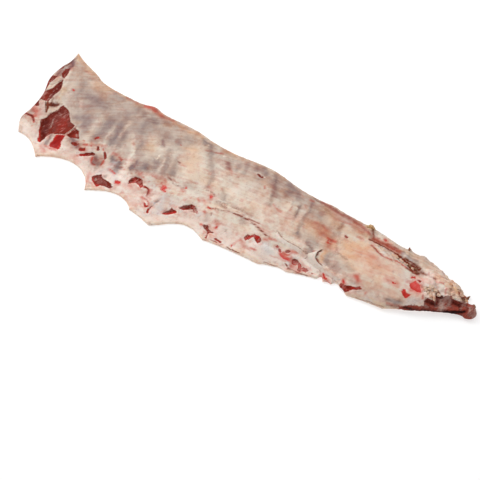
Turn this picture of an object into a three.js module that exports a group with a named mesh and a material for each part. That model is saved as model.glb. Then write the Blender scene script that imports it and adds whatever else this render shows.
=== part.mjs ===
// Raw beef outside skirt steak, membrane on, lying flat with its rib side up. Millimetres, +Z up.
// X runs along the steak from the broad cut end (-X) to the thick tapered end (+X). Y runs across it,
// from the scalloped rib fringe (-Y) to the rolled loin edge (+Y). The origin is on the resting face,
// under the middle of the outline's box.
//
// The steak is one solid. Its outline is four edges: the scalloped rib edge, the loin edge, the cut end
// and the tip. A grid stretched between them carries the top: a thin fringe of membrane and fat that
// steps up to the muscle, with creases, folds, bared hollows and lumps laid on it. The underside is flat.
import * as THREE from "three";

// Thickness along the steak, of the muscle and of the fringe: x, thickness
const MUSCLE_THICKNESS = [
  [-320, 10], [-296, 12.5], [-220, 14], [-120, 13], [-30, 13.5], [70, 15.5], [150, 18], [215, 21],
  [262, 22], [296, 18], [321, 12],
];
const FRINGE_THICKNESS = [
  [-320, 4.5], [-240, 4], [120, 4.2], [165, 6], [205, 9], [245, 13], [290, 14], [321, 11],
];
// Middle of the step from the fringe up to the muscle: x, y
const STEP_LINE = [
  [-320, -44], [-250, -46], [-140, -42], [-82, -50], [-40, -42], [60, -42], [110, -32], [205, -32],
  [250, -26], [321, -4],
];
const STEP_WIDTH = 30;
// The muscle thins out towards the loin edge and the cut end
const LOIN_EDGE_THICKNESS = 9.5;
const LOIN_TAPER = 26;
const CUT_END_THICKNESS = 8;
const CUT_END_TAPER = 20;
const LEAST_THICKNESS = 2.6;

// The side is rounded above and below its widest line, which lies at this share of the thickness
const SIDE_SHARE = 0.42;
const ROUND_SHARE = 0.6; // radius of the rounding over the thickness there

// Rib edge: each cusp's x and y, where a rib was cut away, then the arc from it to the next cusp, as
// how far it cuts in, its fullness (a lower exponent is fuller) and its lean towards the next cusp
const RIB_EDGE = [
  [-306, -56, 7, 0.9, 1],
  [-264, -77, 23, 0.55, 1.4],
  [-182, -86.5, 13, 0.7, 1.3],
  [-117, -81, 1, 1, 1],
  [-83, -88, 14.5, 1.05, 1.1],
  [-14, -71.5, 1.6, 0.7, 0.6],
  [62, -65, 1, 1, 1],
  [79, -58.5, 1.5, 0.8, 0.8],
  [97, -57, 1, 1, 1],
  [134, -46, 5, 0.8, 1],
  [142, -46, 1.8, 0.8, 1],
  [153, -44.5, 3.5, 0.6, 0.6],
  [163, -41.5, 1.2, 1, 1],
  [176, -48, 0.8, 0.8, 1],
  [222, -42, 1, 1, 1],
  [250, -29, 0.2, 1, 1],
  [288, -9.5, 0.6, 1, 1],
  [308, -1.5, 0.3, 1, 1],
  [313, -3, 0, 1, 1],
];
// Points that the other three edges run through as smooth curves
const LOIN_EDGE = [
  [-310, 89.5], [-297, 82], [-270, 72.5], [-245, 63.5], [-190, 62], [-110, 63.2], [-78, 59],
  [-45, 57.6], [10, 61.5], [60, 54], [120, 52.2], [170, 50.5], [200, 46.5], [245, 45.5], [270, 37],
  [289, 33.5], [297, 26], [303, 24], [307, 17.5], [315, 19],
];
const CUT_END = [
  [-306, -56], [-315, -38], [-312, -18], [-312, 8], [-319, 34], [-316, 58], [-311, 72], [-310, 89.5],
];
const TIP = [[313, -3], [320, 0], [323, 5], [323, 10], [319.5, 15], [315, 19]];
// Tags and lumps that stand out of the loin edge: x, reach, half width
const LOIN_TAGS = [[-172, 4.5, 12], [103, 1.6, 12], [158, 4, 4], [214, 3, 3], [234, 2.4, 5], [263, 1.4, 3]];

// The folds and forms below lie where a viewer this far round from the front, and this far up, sees them
// against the level READ_HEIGHT. What stands above that level is nearer the viewer than it seems.
const READ_AZIMUTH = THREE.MathUtils.degToRad(31);
const READ_ELEVATION = THREE.MathUtils.degToRad(60);
const READ_HEIGHT = 6;

// Folds and creases of the top: the points each runs through, its half width, and its height above the
// surface, negative for a crease
const FOLDS = [
  // the back roll over the thick end, the crease in front of it and the split in the fat before that
  [[[165, 43], [200, 40], [235, 37], [262, 32]], 9, 3],
  [[[158, 37], [185, 36], [210, 32], [232, 27], [248, 22]], 5.6, -7.5],
  [[[165, 30], [181, 24], [198, 21], [214, 23], [232, 20]], 2.6, -2.2],
  // two lengthwise folds of loose membrane
  [[[-47, -7], [-34, -11], [-18, -15], [6, -16], [36, -16]], 2.6, 1.4],
  [[[-30, -28], [-10, -22], [12, -19], [32, -20], [52, -27]], 2.8, 1.8],
  // the torn edge of the membrane and the tab that lifts from it
  [[[56, -22], [76, -20], [96, -21], [112, -24], [128, -29], [150, -31], [168, -34]], 4, 1.6],
  [[[112, -25], [116, -17], [121, -9]], 3, 4.5],
  // creases across the steak where it was bent over the ribs
  [[[-77, 44], [-64, 24], [-52, 8], [-48, -4]], 3.5, -0.9],
  [[[66, 40], [68, 24], [72, 6], [80, -8]], 3.5, -1],
  [[[124, 44], [126, 26], [124, 10], [130, -6]], 3.5, -1.1],
  // the strand over the bared muscle and the ribbon of membrane at the cut end
  [[[-248, -31], [-244, -22], [-240, -13]], 1.8, 1.4],
  [[[-308, 20], [-304, 34], [-298, 44]], 3.4, 1.8],
  // the gap under the bared meat beside the knob at the tip
  [[[284, -10], [297, -3], [311, 6]], 3.2, -5],
  // slits in the fringe
  [[[-214, -46], [-207, -41], [-199, -36]], 2.6, -2.6],
  [[[-92, -74], [-95, -64], [-90, -52]], 2.4, -1.8],
];

// Oval forms of the top: centre x and y, half sizes along and across, turn in degrees, and height,
// negative for a hollow
const FORMS = [
  // muscle bared where the membrane is gone, at the cut end and in the big patch beside it
  [-303, 22, 8, 20, 0, -1.8],
  [-307, 52, 6, 12, 0, -1.4],
  [-264, -18, 24, 22, 20, -1.8],
  [-277, -40, 9, 19, 12, -1.8],
  [-237, -25, 11, 9, -35, -1.6],
  [-250, -45, 8, 12, 5, -1],
  // spots dug out of the fringe by the knife
  [-169, -67, 14, 7, -8, -1.6],
  [-129, -41, 11, 6.5, 10, -1.8],
  [-50, -42, 11, 5, 25, -1.8],
  [-70, -60, 9, 3.5, 38, -1.8],
  [-16, -57, 7, 5, -30, -1.6],
  [106, -42, 14, 6, -18, -1.6],
  [171, -41, 9, 5, 10, -2],
  // smooth hollow past the torn edge, and pads of fat in the fringe
  [140, -15, 20, 12, -6, -1.6],
  [-150, -58, 24, 12, 0, 1.6],
  [-100, -66, 20, 14, -10, 1.6],
  [70, -48, 32, 10, 5, 2.2],
  // swellings between the places of the ribs
  [-80, 18, 22, 34, 0, 1.4],
  [8, 14, 34, 26, 0, 1.6],
  [215, 5, 55, 26, -4, 2.5],
  // lumps of fat at the thick end, the meat bared below them, and the knob at the tip
  [254, 17, 11, 9, 0, 3],
  [272, 24, 12, 8, -20, 3],
  [290, 24, 9, 7, -30, 2.4],
  [284, 1, 23, 11, 24, -6.5],
  [258, -22, 16, 4, 24, -4],
  [304, 13, 5, 8, 0, -4],
  [315, 8, 6, 9, 10, 3],
];

// Broad unevenness: height, wavelength along, wavelength across, phase in turns
const SWELLS = [
  [0.7, 150, 400, 0.1],
  [0.55, 92, -210, 0.45],
  [0.45, 61, 130, 0.8],
  [0.3, 37, 95, 0.3],
  [0.25, 29, -70, 0.65],
];
const RELIEF_FADE = 6; // relief starts this far in from the outline

// Grid: cell sizes, the closer rings next to the outline, and the points that test the way to it
const CELL_ALONG = 5.6;
const CELLS_ACROSS = 27;
const RINGS_FROM_ENDS = [0, 1.1, 2.8, 5.6];
const RINGS_FROM_EDGES = [0, 0.009, 0.024, 0.048]; // as shares of the width
const OUTLINE_POINTS = 700;
const FOLD_POINTS = 40; // on the middle line of each fold

const clamp = (value, low, high) => Math.min(high, Math.max(low, value));
const smooth = (t) => t * t * (3 - 2 * t);
const risen = (value, low, high) => smooth(clamp((value - low) / (high - low), 0, 1));

// Value at x of a line given by stations, eased from one to the next
function stationValue(stations, x) {
  const next = stations.findIndex(([at]) => at >= x);
  if (next === 0) return stations[0][1];
  if (next < 0) return stations.at(-1)[1];
  const [x0, value0] = stations[next - 1];
  const [x1, value1] = stations[next];
  return value0 + (value1 - value0) * smooth((x - x0) / (x1 - x0));
}

const curveThrough = (points) => new THREE.SplineCurve(points.map(([x, y]) => new THREE.Vector2(x, y)));
const loinCurve = curveThrough(LOIN_EDGE);
const cutCurve = curveThrough(CUT_END);
const tipCurve = curveThrough(TIP);
const [RIB_START] = RIB_EDGE[0];
const [RIB_END] = RIB_EDGE.at(-1);

// Rib edge at a share u of the way along: straight from cusp to cusp, less the arc between them
function ribPoint(u) {
  const x = RIB_START + (RIB_END - RIB_START) * u;
  const next = x < RIB_END ? RIB_EDGE.findIndex(([cusp]) => cusp > x) : RIB_EDGE.length - 1;
  const [x0, y0, depth, fullness, lean] = RIB_EDGE[next - 1];
  const [x1, y1] = RIB_EDGE[next];
  const t = clamp((x - x0) / (x1 - x0), 0, 1);
  return new THREE.Vector2(x, y0 + (y1 - y0) * t + depth * Math.sin(Math.PI * t ** lean) ** fullness);
}

// Loin edge at a share u of the way along, with its tags
function loinPoint(u) {
  const point = loinCurve.getPointAt(u);
  for (const [at, reach, half] of LOIN_TAGS) point.y += reach * Math.exp(-(((point.x - at) / half) ** 2));
  return point;
}

// Point of the sheet stretched between the four edges, at shares u along and v across
function sheetPoint(u, v) {
  const [rib, loin] = [ribPoint(u), loinPoint(u)];
  const [cut, tip] = [cutCurve.getPointAt(v), tipCurve.getPointAt(v)];
  const [ribCut, ribTip, loinCut, loinTip] = [ribPoint(0), ribPoint(1), loinPoint(0), loinPoint(1)];
  const mixed = (key) =>
    (1 - v) * rib[key] + v * loin[key] + (1 - u) * cut[key] + u * tip[key] -
    (1 - u) * ((1 - v) * ribCut[key] + v * loinCut[key]) - u * ((1 - v) * ribTip[key] + v * loinTip[key]);
  return new THREE.Vector2(mixed("x"), mixed("y"));
}

// Where the viewer sees a place of the top that is this high
function asRead(point, height) {
  const reach = (height - READ_HEIGHT) / Math.tan(READ_ELEVATION);
  return new THREE.Vector2(point.x - reach * Math.sin(READ_AZIMUTH), point.y + reach * Math.cos(READ_AZIMUTH));
}

// Points close together round the whole outline, for the distance to it
function outlinePoints() {
  const points = [];
  for (let i = 0; i < OUTLINE_POINTS; i++) {
    const t = i / OUTLINE_POINTS;
    points.push(ribPoint(t), loinPoint(t), cutCurve.getPointAt(t), tipCurve.getPointAt(t));
  }
  return points;
}

const nearest = (point, points) => Math.sqrt(Math.min(...points.map((p) => point.distanceToSquared(p))));

const foldLines = FOLDS.map(([points, half, high]) => {
  return { line: curveThrough(points).getSpacedPoints(FOLD_POINTS), half, high };
});

// Height of one fold at a point: a rounded ridge that dies away at both ends
function foldHeight({ line, half, high }, point) {
  const away = nearest(point, line);
  if (away > 2 * half) return 0;
  const at = line.findIndex((p) => point.distanceTo(p) <= away + 1e-9);
  const along = Math.sin((Math.PI * (at + 1)) / (FOLD_POINTS + 2));
  return high * Math.exp(-((away / half) ** 2)) * Math.sqrt(along);
}

// Height of one oval form at a point: flat in the middle, steep at its edge
function formHeight([x, y, halfAlong, halfAcross, turn, high], point) {
  const local = new THREE.Vector2(point.x - x, point.y - y);
  local.rotateAround(new THREE.Vector2(), -THREE.MathUtils.degToRad(turn));
  const reach = Math.hypot(local.x / halfAlong, local.y / halfAcross);
  return high * (1 - risen(reach, 0.55, 1.15));
}

function swellHeight(point) {
  return SWELLS.reduce((sum, [high, along, across, phase]) => {
    return sum + high * Math.sin(2 * Math.PI * (point.x / along + point.y / across + phase));
  }, 0);
}

// Thickness of the steak at a point before its relief
function thicknessAt(point, fromLoin, fromCutEnd) {
  const fringe = stationValue(FRINGE_THICKNESS, point.x);
  const step = risen(point.y - stationValue(STEP_LINE, point.x), -STEP_WIDTH / 2, STEP_WIDTH / 2);
  const full = fringe + (stationValue(MUSCLE_THICKNESS, point.x) - fringe) * step;
  const thinLoin = Math.min(0, LOIN_EDGE_THICKNESS - full) * (1 - risen(fromLoin, 0, LOIN_TAPER));
  const thinCut = Math.min(0, CUT_END_THICKNESS - full) * (1 - risen(fromCutEnd, 0, CUT_END_TAPER));
  return full + Math.min(thinLoin, thinCut);
}

// Relief of a place whose thickness before it is plain
function reliefAt(point, plain) {
  const read = asRead(point, plain);
  const folds = foldLines.reduce((sum, fold) => sum + foldHeight(fold, read), 0);
  const forms = FORMS.reduce((sum, form) => sum + formHeight(form, read), 0);
  return folds + forms + swellHeight(point);
}

// Heights of the side, the top and the underside at a point a given way in from the outline
function heightsAt(point, inward, fromLoin, fromCutEnd) {
  const plain = thicknessAt(point, fromLoin, fromCutEnd);
  const relief = reliefAt(point, plain) * risen(inward, 0, RELIEF_FADE);
  const thickness = Math.max(LEAST_THICKNESS, plain + relief);
  const side = SIDE_SHARE * thickness;
  const bend = Math.sqrt(1 - (1 - clamp(inward / (ROUND_SHARE * thickness), 0, 1)) ** 2);
  return { top: side + (thickness - side) * bend, under: side * (1 - bend) };
}

// Shares of the way along: one at each cusp of the rib edge, even steps between, and the end rings
function sharesAlong() {
  const stations = RIB_EDGE.slice(1).flatMap(([x1], i) => {
    const [x0] = RIB_EDGE[i];
    const cells = Math.max(1, Math.round((x1 - x0) / CELL_ALONG));
    return Array.from({ length: cells }, (_, k) => x0 + ((x1 - x0) * k) / cells);
  });
  const last = RINGS_FROM_ENDS.at(-1);
  const between = stations.filter((x) => x > RIB_START + 1.5 * last && x < RIB_END - 1.5 * last);
  const starts = RINGS_FROM_ENDS.map((inset) => RIB_START + inset);
  const ends = RINGS_FROM_ENDS.map((inset) => RIB_END - inset).reverse();
  return [...starts, ...between, ...ends].map((x) => (x - RIB_START) / (RIB_END - RIB_START));
}

function sharesAcross() {
  const last = RINGS_FROM_EDGES.at(-1);
  const step = (1 - 2 * last) / CELLS_ACROSS;
  const between = Array.from({ length: CELLS_ACROSS - 1 }, (_, k) => last + step * (k + 1));
  return [...RINGS_FROM_EDGES, ...between, ...RINGS_FROM_EDGES.map((share) => 1 - share).reverse()];
}

// The closed surface: the top grid, the rounded rings of the underside, and the flat face inside them
function steakGeometry() {
  const [us, vs] = [sharesAlong(), sharesAcross()];
  const [endU, endV] = [us.length - 1, vs.length - 1];
  const flat = RINGS_FROM_ENDS.length - 1; // the flat face starts at this ring
  const ringOf = (i, j) => Math.min(i, j, endU - i, endV - j);
  const outline = outlinePoints();
  const positions = [];
  const addPoint = (point, height) => positions.push(point.x, point.y, height) / 3 - 1;

  // One vertex of the top at each grid point, and one of the underside in its rings. They share ring 0.
  const top = us.map(() => []);
  const under = us.map(() => []);
  us.forEach((u, i) => {
    vs.forEach((v, j) => {
      const ring = ringOf(i, j);
      const point = sheetPoint(u, v);
      const inward = ring > 0 ? nearest(point, outline) : 0;
      const [fromLoin, fromCutEnd] = [loinPoint(u), cutCurve.getPointAt(v)].map((p) => point.distanceTo(p));
      const heights = heightsAt(point, inward, fromLoin, fromCutEnd);
      top[i][j] = addPoint(point, heights.top);
      if (ring === 0) under[i][j] = top[i][j];
      else if (ring <= flat) under[i][j] = addPoint(point, ring < flat ? heights.under : 0);
    });
  });

  const triangles = [];
  const cellOf = (index, i, j) => [index[i][j], index[i + 1][j], index[i + 1][j + 1], index[i][j + 1]];
  const addCell = ([a, b, c, d]) => triangles.push(a, b, c, a, c, d);
  for (let i = 0; i < endU; i++) {
    for (let j = 0; j < endV; j++) {
      addCell(cellOf(top, i, j));
      if (Math.min(ringOf(i, j), ringOf(i + 1, j + 1)) < flat) addCell(cellOf(under, i, j).reverse());
    }
  }

  const loop = [];
  for (let i = flat; i < endU - flat; i++) loop.push(under[i][flat]);
  for (let j = flat; j < endV - flat; j++) loop.push(under[endU - flat][j]);
  for (let i = endU - flat; i > flat; i--) loop.push(under[i][endV - flat]);
  for (let j = endV - flat; j > flat; j--) loop.push(under[flat][j]);
  const flatOutline = loop.map((index) => new THREE.Vector2(...positions.slice(3 * index, 3 * index + 2)));
  const flatFaces = THREE.ShapeUtils.triangulateShape(flatOutline, []);
  for (const [a, b, c] of flatFaces) triangles.push(loop[a], loop[c], loop[b]);

  const geometry = new THREE.BufferGeometry();
  geometry.setAttribute("position", new THREE.Float32BufferAttribute(positions, 3));
  geometry.setIndex(triangles);
  geometry.computeBoundingBox();
  const { min, max } = geometry.boundingBox;
  geometry.translate(-(min.x + max.x) / 2, -(min.y + max.y) / 2, -min.z);
  geometry.computeVertexNormals();
  return geometry;
}

const membraneOverMeat = new THREE.MeshStandardMaterial({ color: "#cbb5a4", roughness: 0.42, metalness: 0 });
const steak = new THREE.Mesh(steakGeometry(), membraneOverMeat);
steak.name = "skirt_steak";

const group = new THREE.Group();
group.add(steak);
export default group;
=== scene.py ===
"""Looks of a raw beef outside skirt steak, membrane on, lying flat with its rib side up.

Plan sizes and places are millimetres on the steak, x along it from the cut end to the tip and y across it
from the scalloped rib edge to the loin edge, as they are in the part's own source. The mesh is shifted to
the frame's origin, and turned to metres, when it is made. The sizes given to noise are millimetres too.
"""

import math

import bmesh
import bpy
import numpy as np
from mathutils import Matrix, Vector, kdtree
from mathutils.bvhtree import BVHTree


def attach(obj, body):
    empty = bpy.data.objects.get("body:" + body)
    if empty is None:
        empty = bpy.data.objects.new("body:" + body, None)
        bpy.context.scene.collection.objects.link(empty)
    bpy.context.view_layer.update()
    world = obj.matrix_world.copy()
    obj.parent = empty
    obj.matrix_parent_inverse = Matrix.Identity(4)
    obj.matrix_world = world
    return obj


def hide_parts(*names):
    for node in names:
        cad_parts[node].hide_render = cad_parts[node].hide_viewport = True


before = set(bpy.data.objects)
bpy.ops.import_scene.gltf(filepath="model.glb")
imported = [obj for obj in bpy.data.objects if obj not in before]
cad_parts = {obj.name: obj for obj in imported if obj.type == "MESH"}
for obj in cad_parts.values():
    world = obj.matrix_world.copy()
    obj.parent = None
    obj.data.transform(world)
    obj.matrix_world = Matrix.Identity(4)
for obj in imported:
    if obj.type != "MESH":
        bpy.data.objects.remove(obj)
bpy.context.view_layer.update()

MM = 0.001

# View. The azimuth is the camera's, from straight in front of the rib edge towards the tip. The distance and
# the reach are metres, the lens is mm.

VIEW_AZIMUTH = math.radians(31)
VIEW_ELEVATION = math.radians(60)
VIEW_DISTANCE = 1.658
VIEW_LENS = 100
VIEW_REACH = 20
AIM_X = 25
AIM_Y = -46

# Form of the steak, mm, as in the part's source

MUSCLE_THICKNESS = [
    (-320, 10), (-296, 12.5), (-220, 14), (-120, 13), (-30, 13.5), (70, 15.5), (150, 18), (215, 21),
    (262, 22), (296, 18), (321, 12),
]
FRINGE_THICKNESS = [(-320, 4.5), (-240, 4), (120, 4.2), (165, 6), (205, 9), (245, 13), (290, 14), (321, 11)]
STEP_LINE = [
    (-320, -44), (-250, -46), (-140, -42), (-82, -50), (-40, -42), (60, -42), (110, -32), (205, -32),
    (250, -26), (321, -4),
]
STEP_WIDTH = 30
LOIN_EDGE_THICKNESS = 9.5
LOIN_TAPER = 26
CUT_END_THICKNESS = 8
CUT_END_TAPER = 20
LEAST_THICKNESS = 2.4
SIDE_SHARE = 0.42
ROUND_SHARE = 0.6

# Rib edge: each cusp's x and y, then the arc to the next: depth, fullness, lean
RIB_EDGE = [
    (-306, -56, 7, 0.9, 1), (-264, -77, 23, 0.55, 1.4), (-182, -86.5, 13, 0.7, 1.3), (-117, -81, 1, 1, 1),
    (-83, -88, 14.5, 1.05, 1.1), (-14, -71.5, 1.6, 0.7, 0.6), (62, -65, 1, 1, 1),
    (79, -58.5, 1.5, 0.8, 0.8), (97, -57, 1, 1, 1), (134, -46, 5, 0.8, 1), (142, -46, 1.8, 0.8, 1),
    (153, -44.5, 3.5, 0.6, 0.6), (163, -41.5, 1.2, 1, 1), (176, -48, 0.8, 0.8, 1), (222, -42, 1, 1, 1),
    (250, -29, 0.2, 1, 1), (288, -9.5, 0.6, 1, 1), (308, -1.5, 0.3, 1, 1), (313, -3, 0, 1, 1),
]
LOIN_EDGE = [
    (-310, 89.5), (-297, 82), (-270, 72.5), (-245, 63.5), (-190, 62), (-110, 63.2), (-78, 59), (-45, 57.6),
    (10, 61.5), (60, 54), (120, 52.2), (170, 50.5), (200, 46.5), (245, 45.5), (270, 37), (289, 33.5),
    (297, 26), (303, 24), (307, 17.5), (315, 19),
]
CUT_END = [(-306, -56), (-315, -38), (-312, -18), (-312, 8), (-319, 34), (-316, 58), (-311, 72), (-310, 89.5)]
TIP = [(313, -3), (320, 0), (323, 5), (323, 10), (319.5, 15), (315, 19)]
# Scraps that hang out past the loin edge: x, how far out, half width
LOIN_TAGS = [(-172, 4.5, 12), (103, 1.6, 12), (158, 4, 4), (214, 3, 3), (234, 2.4, 5), (263, 1.4, 3)]

# Folds and creases: the points each runs through, half width, height
FOLDS = [
    ([(165, 43), (200, 40), (235, 37), (262, 32)], 9, 3),
    ([(158, 37), (185, 36), (210, 32), (232, 27), (248, 22)], 5.6, -7.5),
    ([(165, 30), (181, 24), (198, 21), (214, 23), (232, 20)], 2.2, -2.4),
    ([(-47, -7), (-34, -11), (-18, -15), (6, -16), (36, -16)], 2.0, 1.5),
    ([(-30, -28), (-10, -22), (12, -19), (32, -20), (52, -27)], 2.2, 1.9),
    ([(56, -22), (76, -20), (96, -21), (112, -24), (128, -29), (150, -31), (168, -34)], 3.4, 1.5),
    ([(-77, 44), (-64, 24), (-52, 8), (-48, -4)], 3.5, -0.9),
    ([(66, 40), (68, 24), (72, 6), (80, -8)], 3.5, -1),
    ([(124, 44), (126, 26), (124, 10), (130, -6)], 3.5, -1.1),
    ([(-248, -31), (-244, -22), (-240, -13)], 1.6, 1.6),
    ([(-308, 20), (-304, 34), (-298, 44)], 3.4, 1.8),
    ([(284, -10), (297, -3), (311, 6)], 3.2, -5),
    ([(-214, -46), (-207, -41), (-199, -36)], 2.2, -2.6),
    ([(-92, -74), (-95, -64), (-90, -52)], 2, -1.8),
]
# Oval forms: centre, half sizes along and across, turn in degrees, height
FORMS = [
    (-303, 22, 8, 20, 0, -1.8), (-307, 52, 6, 12, 0, -1.4), (-264, -18, 24, 22, 20, -1.8),
    (-277, -40, 9, 19, 12, -1.8), (-237, -25, 11, 9, -35, -1.6), (-250, -45, 8, 12, 5, -1),
    (-169, -67, 14, 7, -8, -1.6), (-129, -41, 11, 6.5, 10, -1.8), (-50, -42, 11, 5, 25, -1.8),
    (-70, -60, 9, 3.5, 38, -1.8), (-16, -57, 7, 5, -30, -1.6), (106, -42, 14, 6, -18, -1.6),
    (171, -41, 9, 5, 10, -2), (140, -15, 20, 12, -6, -1.6), (-150, -58, 24, 12, 0, 1.6),
    (-100, -66, 20, 14, -10, 1.6), (70, -48, 32, 10, 5, 2.2), (-80, 18, 22, 34, 0, 1.4),
    (8, 14, 34, 26, 0, 1.6), (215, 5, 55, 26, -4, 2.5), (254, 17, 11, 9, 0, 3), (272, 24, 12, 8, -20, 3),
    (290, 24, 9, 7, -30, 2.4), (284, 1, 23, 11, 24, -6.5), (258, -22, 16, 4, 24, -4),
    (304, 13, 5, 8, 0, -4), (315, 8, 6, 9, 10, 3),
]
# Long gentle swells: height, wavelength along and across, share of a wave it is shifted by
SWELLS = [
    (0.7, 150, 400, 0.1), (0.55, 92, -210, 0.45), (0.45, 61, 130, 0.8), (0.3, 37, 95, 0.3),
    (0.25, 29, -70, 0.65),
]
# How far in from the outline the relief reaches its full height
RELIEF_FADE = 6

# Marks on the top. They are read off a view that leans VIEW_AZIMUTH and VIEW_ELEVATION, as if all lay
# READ_HEIGHT above the table, and are shifted to where they lie on the surface. A patch is a closed outline.
# A streak is a line and its half width. A stroke is a line, its half width and its strength.

READ_HEIGHT = 6

FLESH_PATCHES = [
    # bared beside the cut end, and its small neighbour past a strand of membrane
    [(-279, 3), (-277, 7), (-270, 5), (-265, 2), (-261, -3), (-255, -10), (-247, -12), (-244.5, -14),
     (-247, -21), (-249.5, -31), (-255, -33), (-260, -36), (-265, -38), (-268, -43), (-269, -50),
     (-270, -57), (-274, -58), (-278, -50), (-282, -43), (-286, -35), (-290, -26), (-286, -20),
     (-285.5, -12), (-281, -6)],
    [(-243, -14), (-237, -17), (-232, -22), (-230, -26), (-235, -29), (-240, -32), (-247, -31)],
    # bared along the cut end
    [(-310, 57), (-304, 61.5), (-302, 54), (-301.5, 44), (-306, 43.5), (-309.5, 48)],
    [(-302, 41), (-298, 34), (-295, 27), (-297, 14), (-298, 1), (-304, -0.5), (-311, 0), (-314, 8),
     (-311, 16), (-306, 22), (-304.5, 33)],
    [(-320, 40), (-314, 41), (-310, 42.5), (-311.5, 36), (-313.5, 28), (-312, 19), (-313, 8), (-317, 20),
     (-322, 32)],
    [(-319, 58), (-314, 62), (-312, 58), (-315, 53), (-317, 47), (-321, 46)],
    [(-311, 1), (-306, -4), (-304, -10), (-308, -13), (-313, -10), (-313, 0)],
    # dug out of the fringe
    [(-217, -47), (-212, -42.5), (-207, -38.5), (-203, -34.5), (-198, -33.5), (-198.5, -38), (-203, -41),
     (-206, -44), (-211, -46.5), (-214, -48.5)],
    [(-184, -66), (-180, -63), (-178, -59), (-174, -57), (-171, -61), (-166, -61), (-160, -61), (-155, -63),
     (-151, -66), (-153, -69), (-160, -70), (-166, -73), (-171, -76), (-175, -73), (-180, -71)],
    [(-139, -42), (-136, -38), (-133, -36.5), (-129, -37), (-125, -37), (-121, -41), (-118.5, -46),
     (-121, -48), (-126, -46), (-130, -46), (-134, -49), (-138, -52), (-139.5, -47)],
    [(-64, -49), (-61, -44), (-57, -40), (-52, -36), (-48, -35.5), (-44, -37.5), (-40, -42), (-38, -45),
     (-43, -45), (-47, -42), (-50, -44), (-53, -47), (-58, -49)],
    [(-78, -67), (-74, -62), (-71, -58), (-71, -52), (-68, -54), (-63, -54), (-61, -57), (-66, -61),
     (-72, -66)],
    [(-24, -55), (-21, -52), (-18, -52), (-15, -55), (-11, -57), (-6, -57), (-9, -60), (-13, -61),
     (-16, -59), (-20, -57)],
    [(29.5, -43), (30, -38), (34, -35.5), (38, -32.5), (44, -31.5), (48, -33), (51, -39), (48, -42),
     (43, -40), (40, -36.5), (38, -38), (35.5, -44), (32, -46.5)],
    [(96, -41), (97.5, -37), (101, -36), (104, -38), (106, -42), (103, -46), (98, -45.5)],
    [(105, -38), (109, -40), (113, -45), (113, -50), (109, -49), (106, -44)],
    [(112.5, -42.5), (117, -41.5), (121, -43.5), (120, -48), (114, -47)],
    [(81.5, -33), (84, -29.5), (88, -30), (87, -34), (84, -35.5)],
    [(162.5, -37), (168, -37.5), (173, -35.5), (179, -33.5), (186, -30), (189, -32), (184, -36), (180, -39),
     (177, -43), (174, -46), (167, -46), (163.5, -42)],
]
FLESH_STREAKS = [
    ([(-219, -39), (-215, -37)], 2.3),
    ([(-233, -36.5), (-228.5, -36)], 2.3),
    ([(-211.5, -15.5), (-208, -12.5)], 1.2),
    ([(-202, -25), (-199, -28)], 1.5),
    ([(-189, -28), (-184, -34)], 2.0),
    ([(-118, -45), (-113, -44), (-110, -46)], 1.3),
    ([(-110, -47), (-108, -53)], 0.9),
    ([(-107, -59), (-102, -60), (-99, -63)], 0.8),
    ([(-104, -66), (-101, -68), (-99, -66)], 1.3),
    ([(-94, -62), (-95, -69)], 0.9),
    ([(-95, -70), (-93, -75)], 1.7),
    ([(-13, -61), (-11, -68)], 1.2),
    ([(70.5, -33), (72, -34)], 1.2),
    ([(75.5, -36), (77.5, -38)], 1.6),
    ([(126, -44), (127, -44)], 1.2),
    ([(0, -63.5), (8, -64)], 1.2),
    ([(93, -50), (96, -51)], 1.1),
    ([(136, 23), (138.5, 23)], 1.4),
    ([(-3, 45), (3, 44.5)], 1.4),
    ([(242, 14), (245, 13)], 1.3),
    ([(-56, -14), (-55, -15)], 0.5),
]

# The membrane's fibres: how steeply they slant over the broad end, where they turn lengthwise, and how gently
FIBRE_SLANT = 0.5
FIBRE_TURN_X = -100
FIBRE_BEND = 25

# The side of the cut end shows bare meat: how wide its rim is from above, and how far along the steak it goes
BARE_END_RIM = 1.8
CUT_END_X = -298

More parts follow.
